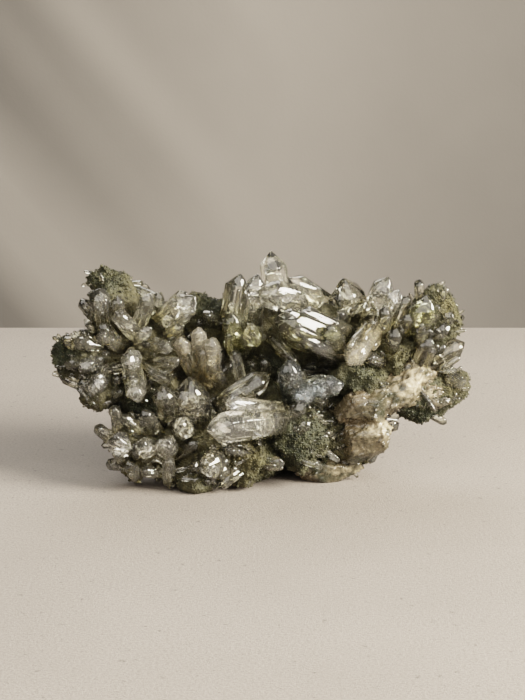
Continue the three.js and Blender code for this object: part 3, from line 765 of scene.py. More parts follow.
@dataclass
class QuartzPoint:
    """A quartz point: six prism faces round an axis and six cap faces, of which every second is smaller."""

    root: np.ndarray
    tip: np.ndarray
    width: float
    flatness: float
    turn: float
    chamfer: float = 0.0
    smooth: bool = False

    @classmethod
    def from_row(cls, row: PointRow, chamfer: float) -> "QuartzPoint":
        """Makes a point from a row of the tables.

        Args:
            row: root, tip, width, flatness and turn.
            chamfer: how far its edges are cut back, in mm.

        Returns:
            The point, in the model's own millimetres.
        """
        root, tip, width, flatness, turn = row
        return cls(front_view(root), front_view(tip), width, flatness, turn, chamfer)

    @property
    def length(self) -> float:
        """The distance from root to tip."""
        return float(np.linalg.norm(self.tip - self.root))

    @property
    def seed(self) -> float:
        """The point's own number for its chances."""
        return seed_of(self.root, self.tip)

    def axes(self) -> np.ndarray:
        """Gives the point's own x, y and z as columns: the shortest turn from upright, after a turn on its axis."""
        axis = unit(self.tip - self.root)
        shortest = Vector((0, 0, 1)).rotation_difference(Vector(axis)).to_matrix()
        turn = math.radians(self.turn)
        spin = np.array([[math.cos(turn), -math.sin(turn), 0], [math.sin(turn), math.cos(turn), 0], [0, 0, 1]])
        return np.array(shortest) @ spin

    def solid(self) -> ConvexSolid:
        """Works out the faces in the point's own frame: prism faces at uneven distances, caps over them."""
        side = np.arange(6)
        angle = side * math.pi / 3
        squeeze = np.where(side % 3 == 0, 1.0, self.flatness)
        reach = self.width / 2 * squeeze * (1 - FACE_VARIATION * chance(self.seed, side))
        level = np.stack((np.cos(angle), np.sin(angle), np.zeros(6)), 1)
        minor = side % 2 == 1
        setback = MINOR_CAP_SETBACK * self.width * (MINOR_CAP_LEAST + chance(self.seed, side + 6))
        capped = ~minor | (self.width >= PLAIN_CAP_WIDTH)
        caps = level * math.cos(CAP_ANGLE) + np.array([0, 0, math.sin(CAP_ANGLE)])
        cap_reach = self.length * math.sin(CAP_ANGLE) + np.where(minor, setback, 0.0)
        normals = np.vstack(([[0.0, 0.0, -1.0]], level, caps[capped]))
        solid = ConvexSolid(normals, np.concatenate(([0.0], reach, cap_reach[capped])))
        return solid.chamfered(self.chamfer) if self.chamfer else solid

    def add_to(self, parts: Gathered, tint: float) -> None:
        """Adds the point to a mesh, with where it is on the crystal as attributes.

        Args:
            parts: what the mesh is gathered in.
            tint: the point's own tint, 0 to 1.
        """
        solid = self.solid()
        corners = solid.corners()
        rings = solid.rings(corners)
        prism = [float(abs(solid.normals[face][2]) < 0.2) for face, _ in rings]
        placed = corners @ self.axes().T + self.root
        placed[:, 2] = np.maximum(placed[:, 2], GROUND_GAP)
        parts.add(
            placed,
            np.concatenate([ring for _, ring in rings]),
            np.array([len(ring) for _, ring in rings]),
            grown=corners + 50 * chance(self.seed, np.arange(3)),
            share=corners[:, 2] / self.length,
            tint=np.full(len(corners), tint),
            face_prism=np.array(prism),
        )

    def crack_into(self, parts: Gathered, tint: float, draw: np.random.Generator) -> None:
        """Opens a thin crack inside the crystal: a bent lens of two sheets, thickest in the middle, facing inwards.

        Args:
            parts: what the mesh is gathered in.
            tint: the point's own tint, 0 to 1.
            draw: the source of chance.
        """
        sectors = 9
        ring = np.array([0.38, 0.75, 1.0])
        angle = np.arange(sectors) * 2 * math.pi / sectors
        reach = self.width * draw.uniform(0.18, 0.42) * draw.uniform(0.75, 1.1, sectors)
        radius = ring[:, None] * reach
        u = np.concatenate(([0.0], (radius * np.cos(angle)).ravel()))
        v = np.concatenate(([0.0], (radius * np.sin(angle)).ravel()))
        level = np.concatenate(([0.0], np.repeat(ring, sectors)))
        bend = draw.uniform(-0.12, 0.12) * (u * u) / self.width + draw.uniform(-0.08, 0.08) * v * v / self.width
        half = 0.03 * (1 - level**2)
        face = unit(draw.normal(size=3) * np.array([1, 1, 0.6]))
        side = unit(np.cross(face, draw.normal(size=3)))
        sheet = u[:, None] * side + v[:, None] * np.cross(face, side)
        middle = np.array([0, 0, self.length * (0.15 + 0.7 * draw.random() ** 1.4)])
        upper = middle + sheet + (bend + half)[:, None] * face
        lower = middle + sheet + (bend - half)[:, None] * face
        local = np.vstack((upper, lower[: 1 + 2 * sectors]))
        placed = local @ self.axes().T + self.root
        if not self.holds(placed, 0.3).all():
            return
        here = np.arange(sectors)
        after = (here + 1) % sectors
        top = 1 + np.arange(3)[:, None] * sectors
        low = len(upper) + top[:2]
        loops, sizes = [], []
        for rows, centre, turned in ((top, 0, True), (np.vstack((low, top[2:])), len(upper), False)):
            fan = np.stack((np.full(sectors, centre), rows[0] + here, rows[0] + after), 1)
            strips = [
                np.stack((rows[k] + here, rows[k + 1] + here, rows[k + 1] + after, rows[k] + after), 1)
                for k in range(2)
            ]
            for faces in (fan, *strips):
                loops.append((faces[:, ::-1] if turned else faces).ravel())
                sizes.append(np.full(sectors, faces.shape[1]))
        sizes_row = np.concatenate(sizes)
        parts.add(
            placed,
            np.concatenate(loops),
            sizes_row,
            grown=local,
            share=np.full(len(local), 0.9),
            tint=np.full(len(local), tint),
            face_prism=np.zeros(len(sizes_row)),
        )

    def hidden_by(self, points: np.ndarray, margin: float) -> np.ndarray:
        """Tells which places would stand between the viewer and the crystal.

        Args:
            points: rows of x, y and z in mm.
            margin: how far beside the crystal still counts, in mm.

        Returns:
            True for a place whose distance in the front view from the crystal's axis is below half its width plus
            the margin, and which is nearer to the viewer than the axis is there.
        """
        across, seen = seen_in_front(points)
        (left, right), (low, high) = seen_in_front(np.stack((self.root, self.tip)))
        along = np.array([right - left, high - low])
        apart = np.stack((across - left, seen - low), 1)
        share = np.clip(apart @ along / max(float(along @ along), 1e-9), 0, 1)
        aside = np.linalg.norm(apart - share[:, None] * along, axis=1)
        depth = self.root[1] + share * (self.tip[1] - self.root[1])
        return (aside < 0.5 * self.width + margin) & (points[:, 1] < depth + 0.5)

    def holds(self, points: np.ndarray, margin: float) -> np.ndarray:
        """Tells which points lie inside the crystal.

        Args:
            points: rows of x, y and z in mm.
            margin: how far inside each face they have to be, in mm.

        Returns:
            True for each point that lies behind all the crystal's faces.
        """
        solid = self.solid()
        local = (points - self.root) @ self.axes()
        return (local @ solid.normals.T <= solid.distances - margin).all(1)


class Board:
    """A material being wired: adds nodes, sets them and joins their sockets."""

    def __init__(self, name: str) -> None:
        """Starts an empty material.

        Args:
            name: the material's name.
        """
        self.material = bpy.data.materials.new(name)
        self.material.use_nodes = True
        self.tree = self.material.node_tree
        self.tree.nodes.clear()
        self.output = self.tree.nodes.new("ShaderNodeOutputMaterial")
        self.shader = self.tree.nodes.new("ShaderNodeBsdfPrincipled")
        self.join(self.shader.outputs["BSDF"], self.output.inputs["Surface"])

    def join(self, source: bpy.types.NodeSocket, target: bpy.types.NodeSocket) -> None:
        """Joins two sockets."""
        self.tree.links.new(source, target)

    def put(self, target: bpy.types.NodeSocket, value: object) -> None:
        """Sets a socket to a plain value, or joins it where the value is a socket.

        Args:
            target: the input socket.
            value: a number, a colour or an output socket.
        """
        if isinstance(value, bpy.types.NodeSocket):
            self.join(value, target)
        elif isinstance(value, tuple) and len(value) == 3 and target.type == "RGBA":
            target.default_value = (*value, 1.0)
        else:
            target.default_value = value

    def set(self, **values: object) -> None:
        """Sets the shader's own sockets, named with underscores for spaces."""
        for name, value in values.items():
            self.put(self.shader.inputs[name.replace("_", " ")], value)

    def place(self) -> bpy.types.NodeSocket:
        """Gives the place on the object, in metres."""
        return self.tree.nodes.new("ShaderNodeTexCoord").outputs["Object"]

    def attribute(self, name: str, vector: bool = False) -> bpy.types.NodeSocket:
        """Gives an attribute of the mesh.

        Args:
            name: the attribute's name.
            vector: whether it is a place rather than a number.

        Returns:
            Its output socket.
        """
        node = self.tree.nodes.new("ShaderNodeAttribute")
        node.attribute_name = name
        return node.outputs["Vector" if vector else "Fac"]

    def noise(self, at: bpy.types.NodeSocket, scale: float, detail: float = 4, twist: float = 0,
              rough: float = 0.55) -> bpy.types.NodeSocket:
        """Adds cloud noise.

        Args:
            at: the place that it is read at.
            scale: how many clouds a unit.
            detail: how many finer layers.
            twist: how far it is bent by itself.
            rough: how strong the finer layers are.

        Returns:
            The noise's number, 0 to 1.
        """
        node = self.tree.nodes.new("ShaderNodeTexNoise")
        self.put(node.inputs["Vector"], at)
        node.inputs["Scale"].default_value = scale
        node.inputs["Detail"].default_value = detail
        node.inputs["Roughness"].default_value = rough
        node.inputs["Distortion"].default_value = twist
        return node.outputs["Fac"]

    def cells(self, at: bpy.types.NodeSocket, scale: float, what: str = "Distance",
              feature: str = "F1") -> bpy.types.NodeSocket:
        """Adds cell noise.

        Args:
            at: the place that it is read at.
            scale: how many cells a unit.
            what: the output that is wanted.
            feature: which distance is measured.

        Returns:
            The output socket.
        """
        node = self.tree.nodes.new("ShaderNodeTexVoronoi")
        node.feature = feature
        self.put(node.inputs["Vector"], at)
        node.inputs["Scale"].default_value = scale
        return node.outputs[what]

    def stretched(self, at: bpy.types.NodeSocket, scale: Place) -> bpy.types.NodeSocket:
        """Stretches a place along each of its axes.

        Args:
            at: the place.
            scale: the factor along each axis.

        Returns:
            The stretched place.
        """
        node = self.tree.nodes.new("ShaderNodeMapping")
        self.put(node.inputs["Vector"], at)
        node.inputs["Scale"].default_value = scale
        return node.outputs["Vector"]

    def span(self, value: bpy.types.NodeSocket, low: float, high: float, to_low: float = 0.0,
             to_high: float = 1.0) -> bpy.types.NodeSocket:
        """Carries a number from one range to another, held at both ends.

        Args:
            value: the number.
            low: where the first range starts.
            high: where it ends.
            to_low: what the start becomes.
            to_high: what the end becomes.

        Returns:
            The new number.
        """
        node = self.tree.nodes.new("ShaderNodeMapRange")
        for key, number in (("Value", value), ("From Min", low), ("From Max", high),
                            ("To Min", to_low), ("To Max", to_high)):
            self.put(node.inputs[key], number)
        return node.outputs["Result"]

    def mix(self, share: object, first: object, second: object, blend: str = "MIX") -> bpy.types.NodeSocket:
        """Mixes two colours.

        Args:
            share: how much of the second, a number or a socket.
            first: a colour or a socket.
            second: a colour or a socket.
            blend: how they are mixed.

        Returns:
            The mixed colour.
        """
        node = self.tree.nodes.new("ShaderNodeMix")
        node.data_type = "RGBA"
        node.blend_type = blend
        self.put(node.inputs[0], share)
        self.put(node.inputs[6], first)
        self.put(node.inputs[7], second)
        return node.outputs[2]

    def sum(self, kind: str, first: object, second: object = 0.0) -> bpy.types.NodeSocket:
        """Works out one sum on two numbers.

        Args:
            kind: the sum's name, such as MULTIPLY.
            first: a number or a socket.
            second: a number or a socket.

        Returns:
            The result.
        """
        node = self.tree.nodes.new("ShaderNodeMath")
        node.operation = kind
        self.put(node.inputs[0], first)
        self.put(node.inputs[1], second)
        return node.outputs[0]

    def relief(self, height: bpy.types.NodeSocket, strength: float, depth: float,
               over: bpy.types.NodeSocket | None = None) -> bpy.types.NodeSocket:
        """Turns a height into a bump.

        Args:
            height: the height, 0 to 1.
            strength: the bump's strength.
            depth: how deep it is, in metres.
            over: a bump that it lies on.

        Returns:
            The normal socket.
        """
        node = self.tree.nodes.new("ShaderNodeBump")
        node.inputs["Strength"].default_value = strength
        node.inputs["Distance"].default_value = depth
        self.put(node.inputs["Height"], height)
        if over is not None:
            self.put(node.inputs["Normal"], over)
        return node.outputs["Normal"]


@dataclass(frozen=True)
class QuartzFinish:
    """See-through quartz: two tints, cloudy veils, a green root, fine stripes across the prism faces."""

    name: str
    tint: Colour
    second_tint: Colour
    veil: Colour
    root: Colour
    absorbed: Colour
    density: float
    transmission: float
    veil_share: float = 0.5
    root_reach: float = 0.6
    dullness: float = 0.0

    def material(self) -> bpy.types.Material:
        """Wires the material."""
        board = Board(self.name)
        grown = board.attribute("grown", vector=True)
        tint = board.mix(board.attribute("tint"), self.tint, self.second_tint)
        clouds = board.noise(board.stretched(grown, (0.3, 0.3, 0.16)), 1.0, 7, 1.6, 0.62)
        veils = board.span(clouds, 0.5, 0.66, 0.0, self.veil_share)
        coloured = board.mix(veils, tint, self.veil)
        depth = board.sum("ADD", board.attribute("share"), board.span(clouds, 0.3, 0.7, -0.18, 0.18))
        rooted = board.span(depth, self.root_reach, 0.05, 0.0, 0.92)
        board.set(Base_Color=board.mix(rooted, coloured, self.root))
        speck = board.noise(grown, 0.9, 3)
        board.set(Roughness=board.span(speck, 0.5, 0.8, self.dullness, self.dullness + 0.06))
        across = board.noise(board.stretched(grown, (0.1, 0.1, 1.5)), 1.0, 2, 0.0, 0.5)
        along = board.noise(board.stretched(grown, (0.9, 0.9, 0.04)), 1.0, 2, 0.0, 0.5)
        stripes = board.sum("ADD", board.sum("MULTIPLY", across, 0.35), along)
        on_prism = board.sum("MULTIPLY", stripes, board.attribute("prism"))
        striped = board.relief(on_prism, 0.8, 0.0001)
        hills = board.noise(grown, 0.25, 1, 0.4)
        board.set(Normal=board.relief(hills, 0.05, 0.0006, striped))
        board.set(IOR=QUARTZ_IOR, Transmission_Weight=self.transmission)
        if self.density:
            volume = board.tree.nodes.new("ShaderNodeVolumeAbsorption")
            board.put(volume.inputs["Color"], self.absorbed)
            volume.inputs["Density"].default_value = self.density
            board.join(volume.outputs["Volume"], board.output.inputs["Volume"])
        return board.material


@dataclass(frozen=True)
class ChloriteFinish:
    """Matte chlorite crust: dark green to olive, yellow-green and dark in patches, grainy at half a millimetre."""

    name: str = "chlorite_crust"
    deep: Colour = (0.012, 0.016, 0.009)
    olive: Colour = (0.042, 0.04, 0.016)
    golden: Colour = (0.1, 0.08, 0.029)
    pale: Colour = (0.09, 0.079, 0.043)
    matrix: Colour = (0.048, 0.042, 0.021)

    def material(self) -> bpy.types.Material:
        """Wires the material."""
        board = Board(self.name)
        at = board.place()
        broad = board.noise(at, 130, 6, 0.6, 0.65)
        grain = board.cells(at, 1500, "Distance")
        shade = board.cells(at, 1500, "Color")
        fine = board.noise(at, 1100, 3)
        base = board.mix(board.span(broad, 0.36, 0.66), self.deep, self.olive)
        golden_share = board.sum("MULTIPLY", board.attribute("golden"), board.span(fine, 0.3, 0.6, 0.25, 1.0))
        base = board.mix(golden_share, base, self.golden)
        dusted = board.span(board.noise(at, 420, 5, 0.5, 0.7), 0.58, 0.74, 0.0, 0.5)
        base = board.mix(dusted, base, self.pale)
        base = board.mix(board.sum("MULTIPLY", board.attribute("grown_over"), 0.85), base, self.matrix)
        dark = board.sum("MULTIPLY", board.attribute("dark"), 0.82)
        base = board.mix(dark, base, self.deep)
        grey = board.sum("ADD", shade, 0.0)
        board.set(Base_Color=board.mix(0.4, base, grey, "OVERLAY"))
        board.set(Roughness=board.span(fine, 0.3, 0.7, 0.5, 0.9), Specular_IOR_Level=0.3)
        coarse = board.relief(grain, 0.7, 0.0005)
        board.set(Normal=board.relief(fine, 0.5, 0.0003, coarse))
        return board.material


@dataclass(frozen=True)
class GrainFinish:
    """Loose chlorite grains: each its own green, with a faint mica glint."""

    name: str
    dark: Colour
    light: Colour
    golden: Colour

    def material(self) -> bpy.types.Material:
        """Wires the material."""
        board = Board(self.name)
        at = board.place()
        base = board.mix(board.attribute("tint"), self.dark, self.light)
        base = board.mix(board.attribute("golden"), base, self.golden)
        fine = board.noise(at, 1800, 3)
        board.set(Base_Color=board.mix(board.span(fine, 0.35, 0.7, 0.0, 0.45), base, self.dark))
        board.set(Roughness=board.span(fine, 0.3, 0.7, 0.4, 0.8), Specular_IOR_Level=0.3)
        board.set(Normal=board.relief(fine, 0.4, 0.0002))
        return board.material


@dataclass(frozen=True)
class VeinFinish:
    """Vein quartz: cream where it is broken white, grey-brown and green-grey below, waxy."""

    name: str = "broken_vein"
    cream: Colour = (0.86, 0.7, 0.46)
    brown: Colour = (0.12, 0.093, 0.056)
    green: Colour = (0.03, 0.032, 0.018)

    def material(self) -> bpy.types.Material:
        """Wires the material."""
        board = Board(self.name)
        at = board.place()
        broad = board.noise(at, 75, 5, 0.8)
        fine = board.noise(board.stretched(at, (1.0, 1.0, 1.6)), 300, 6, 0.5, 0.7)
        base = board.mix(board.span(broad, 0.4, 0.6), self.brown, self.green)
        base = board.mix(board.span(fine, 0.54, 0.74, 0.0, 0.3), base, self.cream)
        creamy = board.sum("MULTIPLY", board.attribute("cream"), board.span(fine, 0.3, 0.5, 0.35, 1.0))
        base = board.mix(creamy, base, self.cream)
        cracks = board.cells(at, 260, "Distance", "DISTANCE_TO_EDGE")
        base = board.mix(board.span(cracks, 0.05, 0.0, 0.0, 0.45), base, self.green)
        board.set(Base_Color=base)
        board.set(Roughness=board.span(fine, 0.3, 0.7, 0.06, 0.35))
        board.set(IOR=QUARTZ_IOR, Transmission_Weight=0.45)
        ridges = board.relief(fine, 0.4, 0.0004)
        board.set(Normal=board.relief(board.noise(at, 900, 3), 0.3, 0.0003, ridges))
        return board.material


@dataclass(frozen=True)
class SpeckFinish:
    """Tiny flakes inside the quartz: bright healed cracks or dark chlorite."""

    name: str
    first: Colour
    second: Colour
    roughness: float

    def material(self) -> bpy.types.Material:
        """Wires the material."""
        board = Board(self.name)
        fine = board.noise(board.place(), 900, 2)
        board.set(Base_Color=board.mix(board.span(fine, 0.35, 0.65), self.first, self.second))
        board.set(Roughness=self.roughness)
        return board.material


@dataclass(frozen=True)
class WallFinish:
    """The wall behind: plaster with painted soft slanting bands of light on the left, and painted shade that darkens
    it on the right.
    """

    name: str
    bright: Colour
    dim: Colour
    slant: float = math.radians(-40)

    def material(self) -> bpy.types.Material:
        """Wires the material."""
        board = Board(self.name)
        at = board.place()
        split = board.tree.nodes.new("ShaderNodeSeparateXYZ")
        board.join(at, split.inputs[0])
        across = split.outputs["X"]
        turned = board.tree.nodes.new("ShaderNodeMapping")
        board.join(at, turned.inputs["Vector"])
        turned.vector_type = "TEXTURE"
        turned.inputs["Rotation"].default_value = (0.0, self.slant, 0.0)
        turned.inputs["Scale"].default_value = (0.06, 1.0, 1.4)
        # Painted light: soft slanting bands of light and shade across the left of the wall.
        bands = board.span(board.noise(turned.outputs["Vector"], 1.0, 1, 0.0, 0.3), 0.38, 0.62)
        left = board.span(across, -0.2, 0.02, 0.9, 0.0)
        # Painted shade: the wall grows darker towards the right.
        right = board.span(across, -0.02, 0.24, 0.0, 0.85)
        # The painted light bands and the painted shade together set how much of the dim colour shows.
        shade = board.sum("ADD", board.sum("MULTIPLY", bands, left), right)
        clouds = board.noise(at, 7, 4)
        shade = board.sum("ADD", shade, board.span(clouds, 0.3, 0.7, -0.08, 0.08))
        board.set(Base_Color=board.mix(shade, self.bright, self.dim), Roughness=0.8)
        board.set(Normal=board.relief(board.noise(at, 400, 3), 0.1, 0.001))
        return board.material


@dataclass(frozen=True)
class PlasterFinish:
    """Pale plaster for the table: fine sandy grain and faint clouds."""

    name: str
    colour: Colour
    shade: Colour
    grain: float = 1.0

    def material(self) -> bpy.types.Material:
        """Wires the material."""
        board = Board(self.name)
        at = board.place()
        clouds = board.noise(at, 9, 6, 0.3, 0.6)
        base = board.mix(board.span(clouds, 0.35, 0.7, 0.0, 0.4), self.colour, self.shade)
        sand = board.noise(at, 1100, 4, 0.0, 0.8)
        base = board.mix(board.span(sand, 0.36, 0.6, 0.55 * self.grain, 0.0), base, self.shade)
        # Painted shade: dark spots stand for the shade inside small pits, which the surface does not have as shape.
        pits = board.span(board.noise(at, 260, 5, 0.0, 0.7), 0.62, 0.7, 0.0, 0.6 * self.grain)
        base = board.mix(pits, base, tuple(0.5 * part for part in self.shade))
        scratches = board.noise(at, 16, 7, 1.5, 0.6)
        line = board.span(board.sum("ABSOLUTE", board.sum("SUBTRACT", scratches, 0.5)), 0.0, 0.006, 0.35, 0.0)
        base = board.mix(board.sum("MULTIPLY", line, board.span(clouds, 0.5, 0.65)), base, self.shade)
        board.set(Base_Color=base, Roughness=0.75)
        board.set(Normal=board.relief(sand, 0.25 * self.grain, 0.0006))
        return board.material


FINISHES: dict[Quartz, QuartzFinish] = {
    Quartz.CLEAR: QuartzFinish(
        "clear_quartz_points", (0.99, 0.98, 0.93), (0.95, 0.93, 0.84), (1.0, 1.0, 0.97), (0.7, 0.67, 0.5),
        (0.8, 0.77, 0.62), 6, 0.985),
    Quartz.MILKY: QuartzFinish(
        "milky_quartz_points", (1.0, 0.95, 0.82), (0.95, 0.87, 0.67), (1.0, 0.98, 0.9), (0.74, 0.63, 0.38),
        (0.85, 0.79, 0.62), 6, 0.945),
    Quartz.SMOKY: QuartzFinish(
        "smoky_quartz_points", (0.84, 0.82, 0.73), (0.74, 0.71, 0.6), (0.95, 0.94, 0.88), (0.36, 0.34, 0.22),
        (0.5, 0.46, 0.35), 24, 0.99, 0.35),
    Quartz.BLUE: QuartzFinish(
        "blue_quartz_points", (0.87, 0.91, 0.93), (0.83, 0.87, 0.88), (0.97, 0.99, 1.0), (0.56, 0.58, 0.52),
        (0.6, 0.67, 0.68), 10, 0.985),
    Quartz.GREEN: QuartzFinish(
        "green_quartz_points", (0.78, 0.76, 0.55), (0.62, 0.61, 0.4), (0.9, 0.88, 0.73), (0.2, 0.2, 0.1),
        (0.5, 0.5, 0.3), 26, 0.985, 0.4, 0.6, 0.04),
}


@dataclass
class ChloriteRock:
    """The rock under the points: lumps joined to one skin, with coarse breaks, pits and grains pressed into it."""

    step: float = 0.75
    coarse: float = 1.1
    grain: float = 0.7
    points: np.ndarray = field(default_factory=lambda: np.empty((0, 3)))
    normals: np.ndarray = field(default_factory=lambda: np.empty((0, 3)))
    golden: np.ndarray = field(default_factory=lambda: np.empty(0))

    def build(self, relief: Relief) -> None:
        """Makes the rock: each vertex goes along its normal by cloud noise and by cell noise at two grain sizes.

        Args:
            relief: the noise.
        """
        lumps = [RockLump(front_view(centre), np.asarray(halves, float), 0.0, 0.35) for centre, halves in LUMPS]
        points, quads = lump_skin(lumps, self.step)
        coarse = relief.rough(points, 7.0, 3) * self.coarse + 0.8 * relief.splinters(points, 3.6)
        near = relief.grains(points, 2.4)
        small = relief.grains(points + 31, 1.5)
        ridged = (0.55 - near) * self.grain * 1.5 + (0.5 - small) * self.grain
        pits = -1.5 * np.clip(relief.rough(points + 90, 3.0, 2) - 0.15, 0, 1)
        moved = pushed(points, quads, coarse + ridged + 1.6 * pits, 2.5)
        self.points = moved
        self.normals = vertex_normals(moved, quads)
        patchy = relief.rough(moved + 200, 11, 3)
        front = np.clip((6 - moved[:, 1]) / 12, 0, 1)
        self.golden = np.clip(
            patch_weight(moved, GOLDEN_PATCHES) * front + (1 - front) * np.clip(patchy * 1.6 - 0.3, 0, 0.7), 0, 1)
        dark = np.clip(patch_weight(moved, DARK_PATCHES) * front + (1 - front) * np.clip(0.2 - patchy, 0, 0.7), 0, 1)
        grown_over = 1 - patch_weight(moved, BARE_PATCHES)
        shell = quad_shell(moved, quads, golden=self.golden, dark=dark, grown_over=grown_over)
        mesh = shell.mesh("chlorite_rock_crust")
        mesh.polygons.foreach_set("use_smooth", np.ones(len(mesh.polygons), bool))
        piece = show(mesh, ChloriteFinish().material())
        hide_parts("chlorite_rock")


@dataclass
class VeinQuartz:
    """The broken vein: slabs joined to one skin, with shell-like breaks and stepped ridges."""

    step: float = 0.5
    depth: float = 0.4
    bearing: float = 40.0

    def build(self, relief: Relief) -> None:
        """Makes the vein: vertices go inwards by terraces, what a slanted noise has over its whole number.

        Broken flats, long ones drawn out along the vein's bearing and small ones, are added to the terraces.

        Args:
            relief: the noise.
        """
        slabs = [
            RockLump(front_view(centre), np.asarray(halves, float), tilt, 0.2) for centre, halves, tilt in VEIN_SLABS
        ]
        points, quads = lump_skin(slabs, self.step)
        slant = points @ np.array([0.5, 0.25, -0.8]) / 3.1 + 1.3 * relief.rough(points, 9, 3)
        terrace = slant - np.floor(slant)
        turn = math.radians(self.bearing)
        along = points @ np.array([math.cos(turn), 0, math.sin(turn)])
        over = points @ np.array([-math.sin(turn), 0, math.cos(turn)])
        drawn = np.stack((0.5 * along, points[:, 1], over), 1)
        broken = 0.5 * relief.splinters(drawn, 3.4) + 0.28 * relief.splinters(points + 60, 1.3)
        height = -self.depth * terrace**2 + broken + 0.25 * relief.rough(points + 40, 2.4, 3) - 0.2
        moved = pushed(points, quads, height, 2.0)
        across, seen = seen_in_front(moved)
        band = np.exp(-((across - 53) ** 2 / 50 + (seen + 11) ** 2 / 50))
        band += 0.8 * np.exp(-((across - 42) ** 2 / 20 + (seen + 27.5) ** 2 / 6))
        band += 0.4 * np.exp(-((across - 30) ** 2 / 50 + (seen + 43) ** 2 / 3))
        cream = np.clip(band * (0.75 + 2.0 * relief.rough(points + 70, 2.2, 4)), 0, 1)
        mesh = quad_shell(moved, quads, cream=cream).mesh("broken_vein_quartz")
        piece = show(mesh, VeinFinish().material())
        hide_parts("vein_quartz")


@dataclass
class FreeCrystals:
    """The points that stand free, one piece for each CAD node, with their edges a little worn."""

    chamfer: float = 0.13
    cracks: int = 12
    seed: int = 3
    made: list[QuartzPoint] = field(default_factory=list)

    def build(self) -> None:
        """Makes each piece in the place of its node."""
        draw = np.random.default_rng(self.seed)
        materials = {kind: finish.material() for kind, finish in FINISHES.items()}
        for node, (kind, rows) in CRYSTALS.items():
            parts = Gathered()
            for row in rows:
                point = QuartzPoint.from_row(row, self.chamfer)
                point.smooth = node in SMOOTH_NODES
                tint = float(chance(point.seed, 30))
                point.add_to(parts, tint)
                for _ in range(self.cracks):
                    point.crack_into(parts, tint, draw)
                self.made.append(point)
            piece = show(parts.mesh(f"{node}_crystal"), materials[kind])
            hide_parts(node)


@dataclass(frozen=True)
class Layer:
    """One layer of the carpet: the points' spacing, widths, slimness, stray lean, chamfer, share and reach."""

    spacing: float
    widths: tuple[float, float]
    slimness: tuple[float, float]
    lean: float
    chamfer: float
    share: float
    reach: float


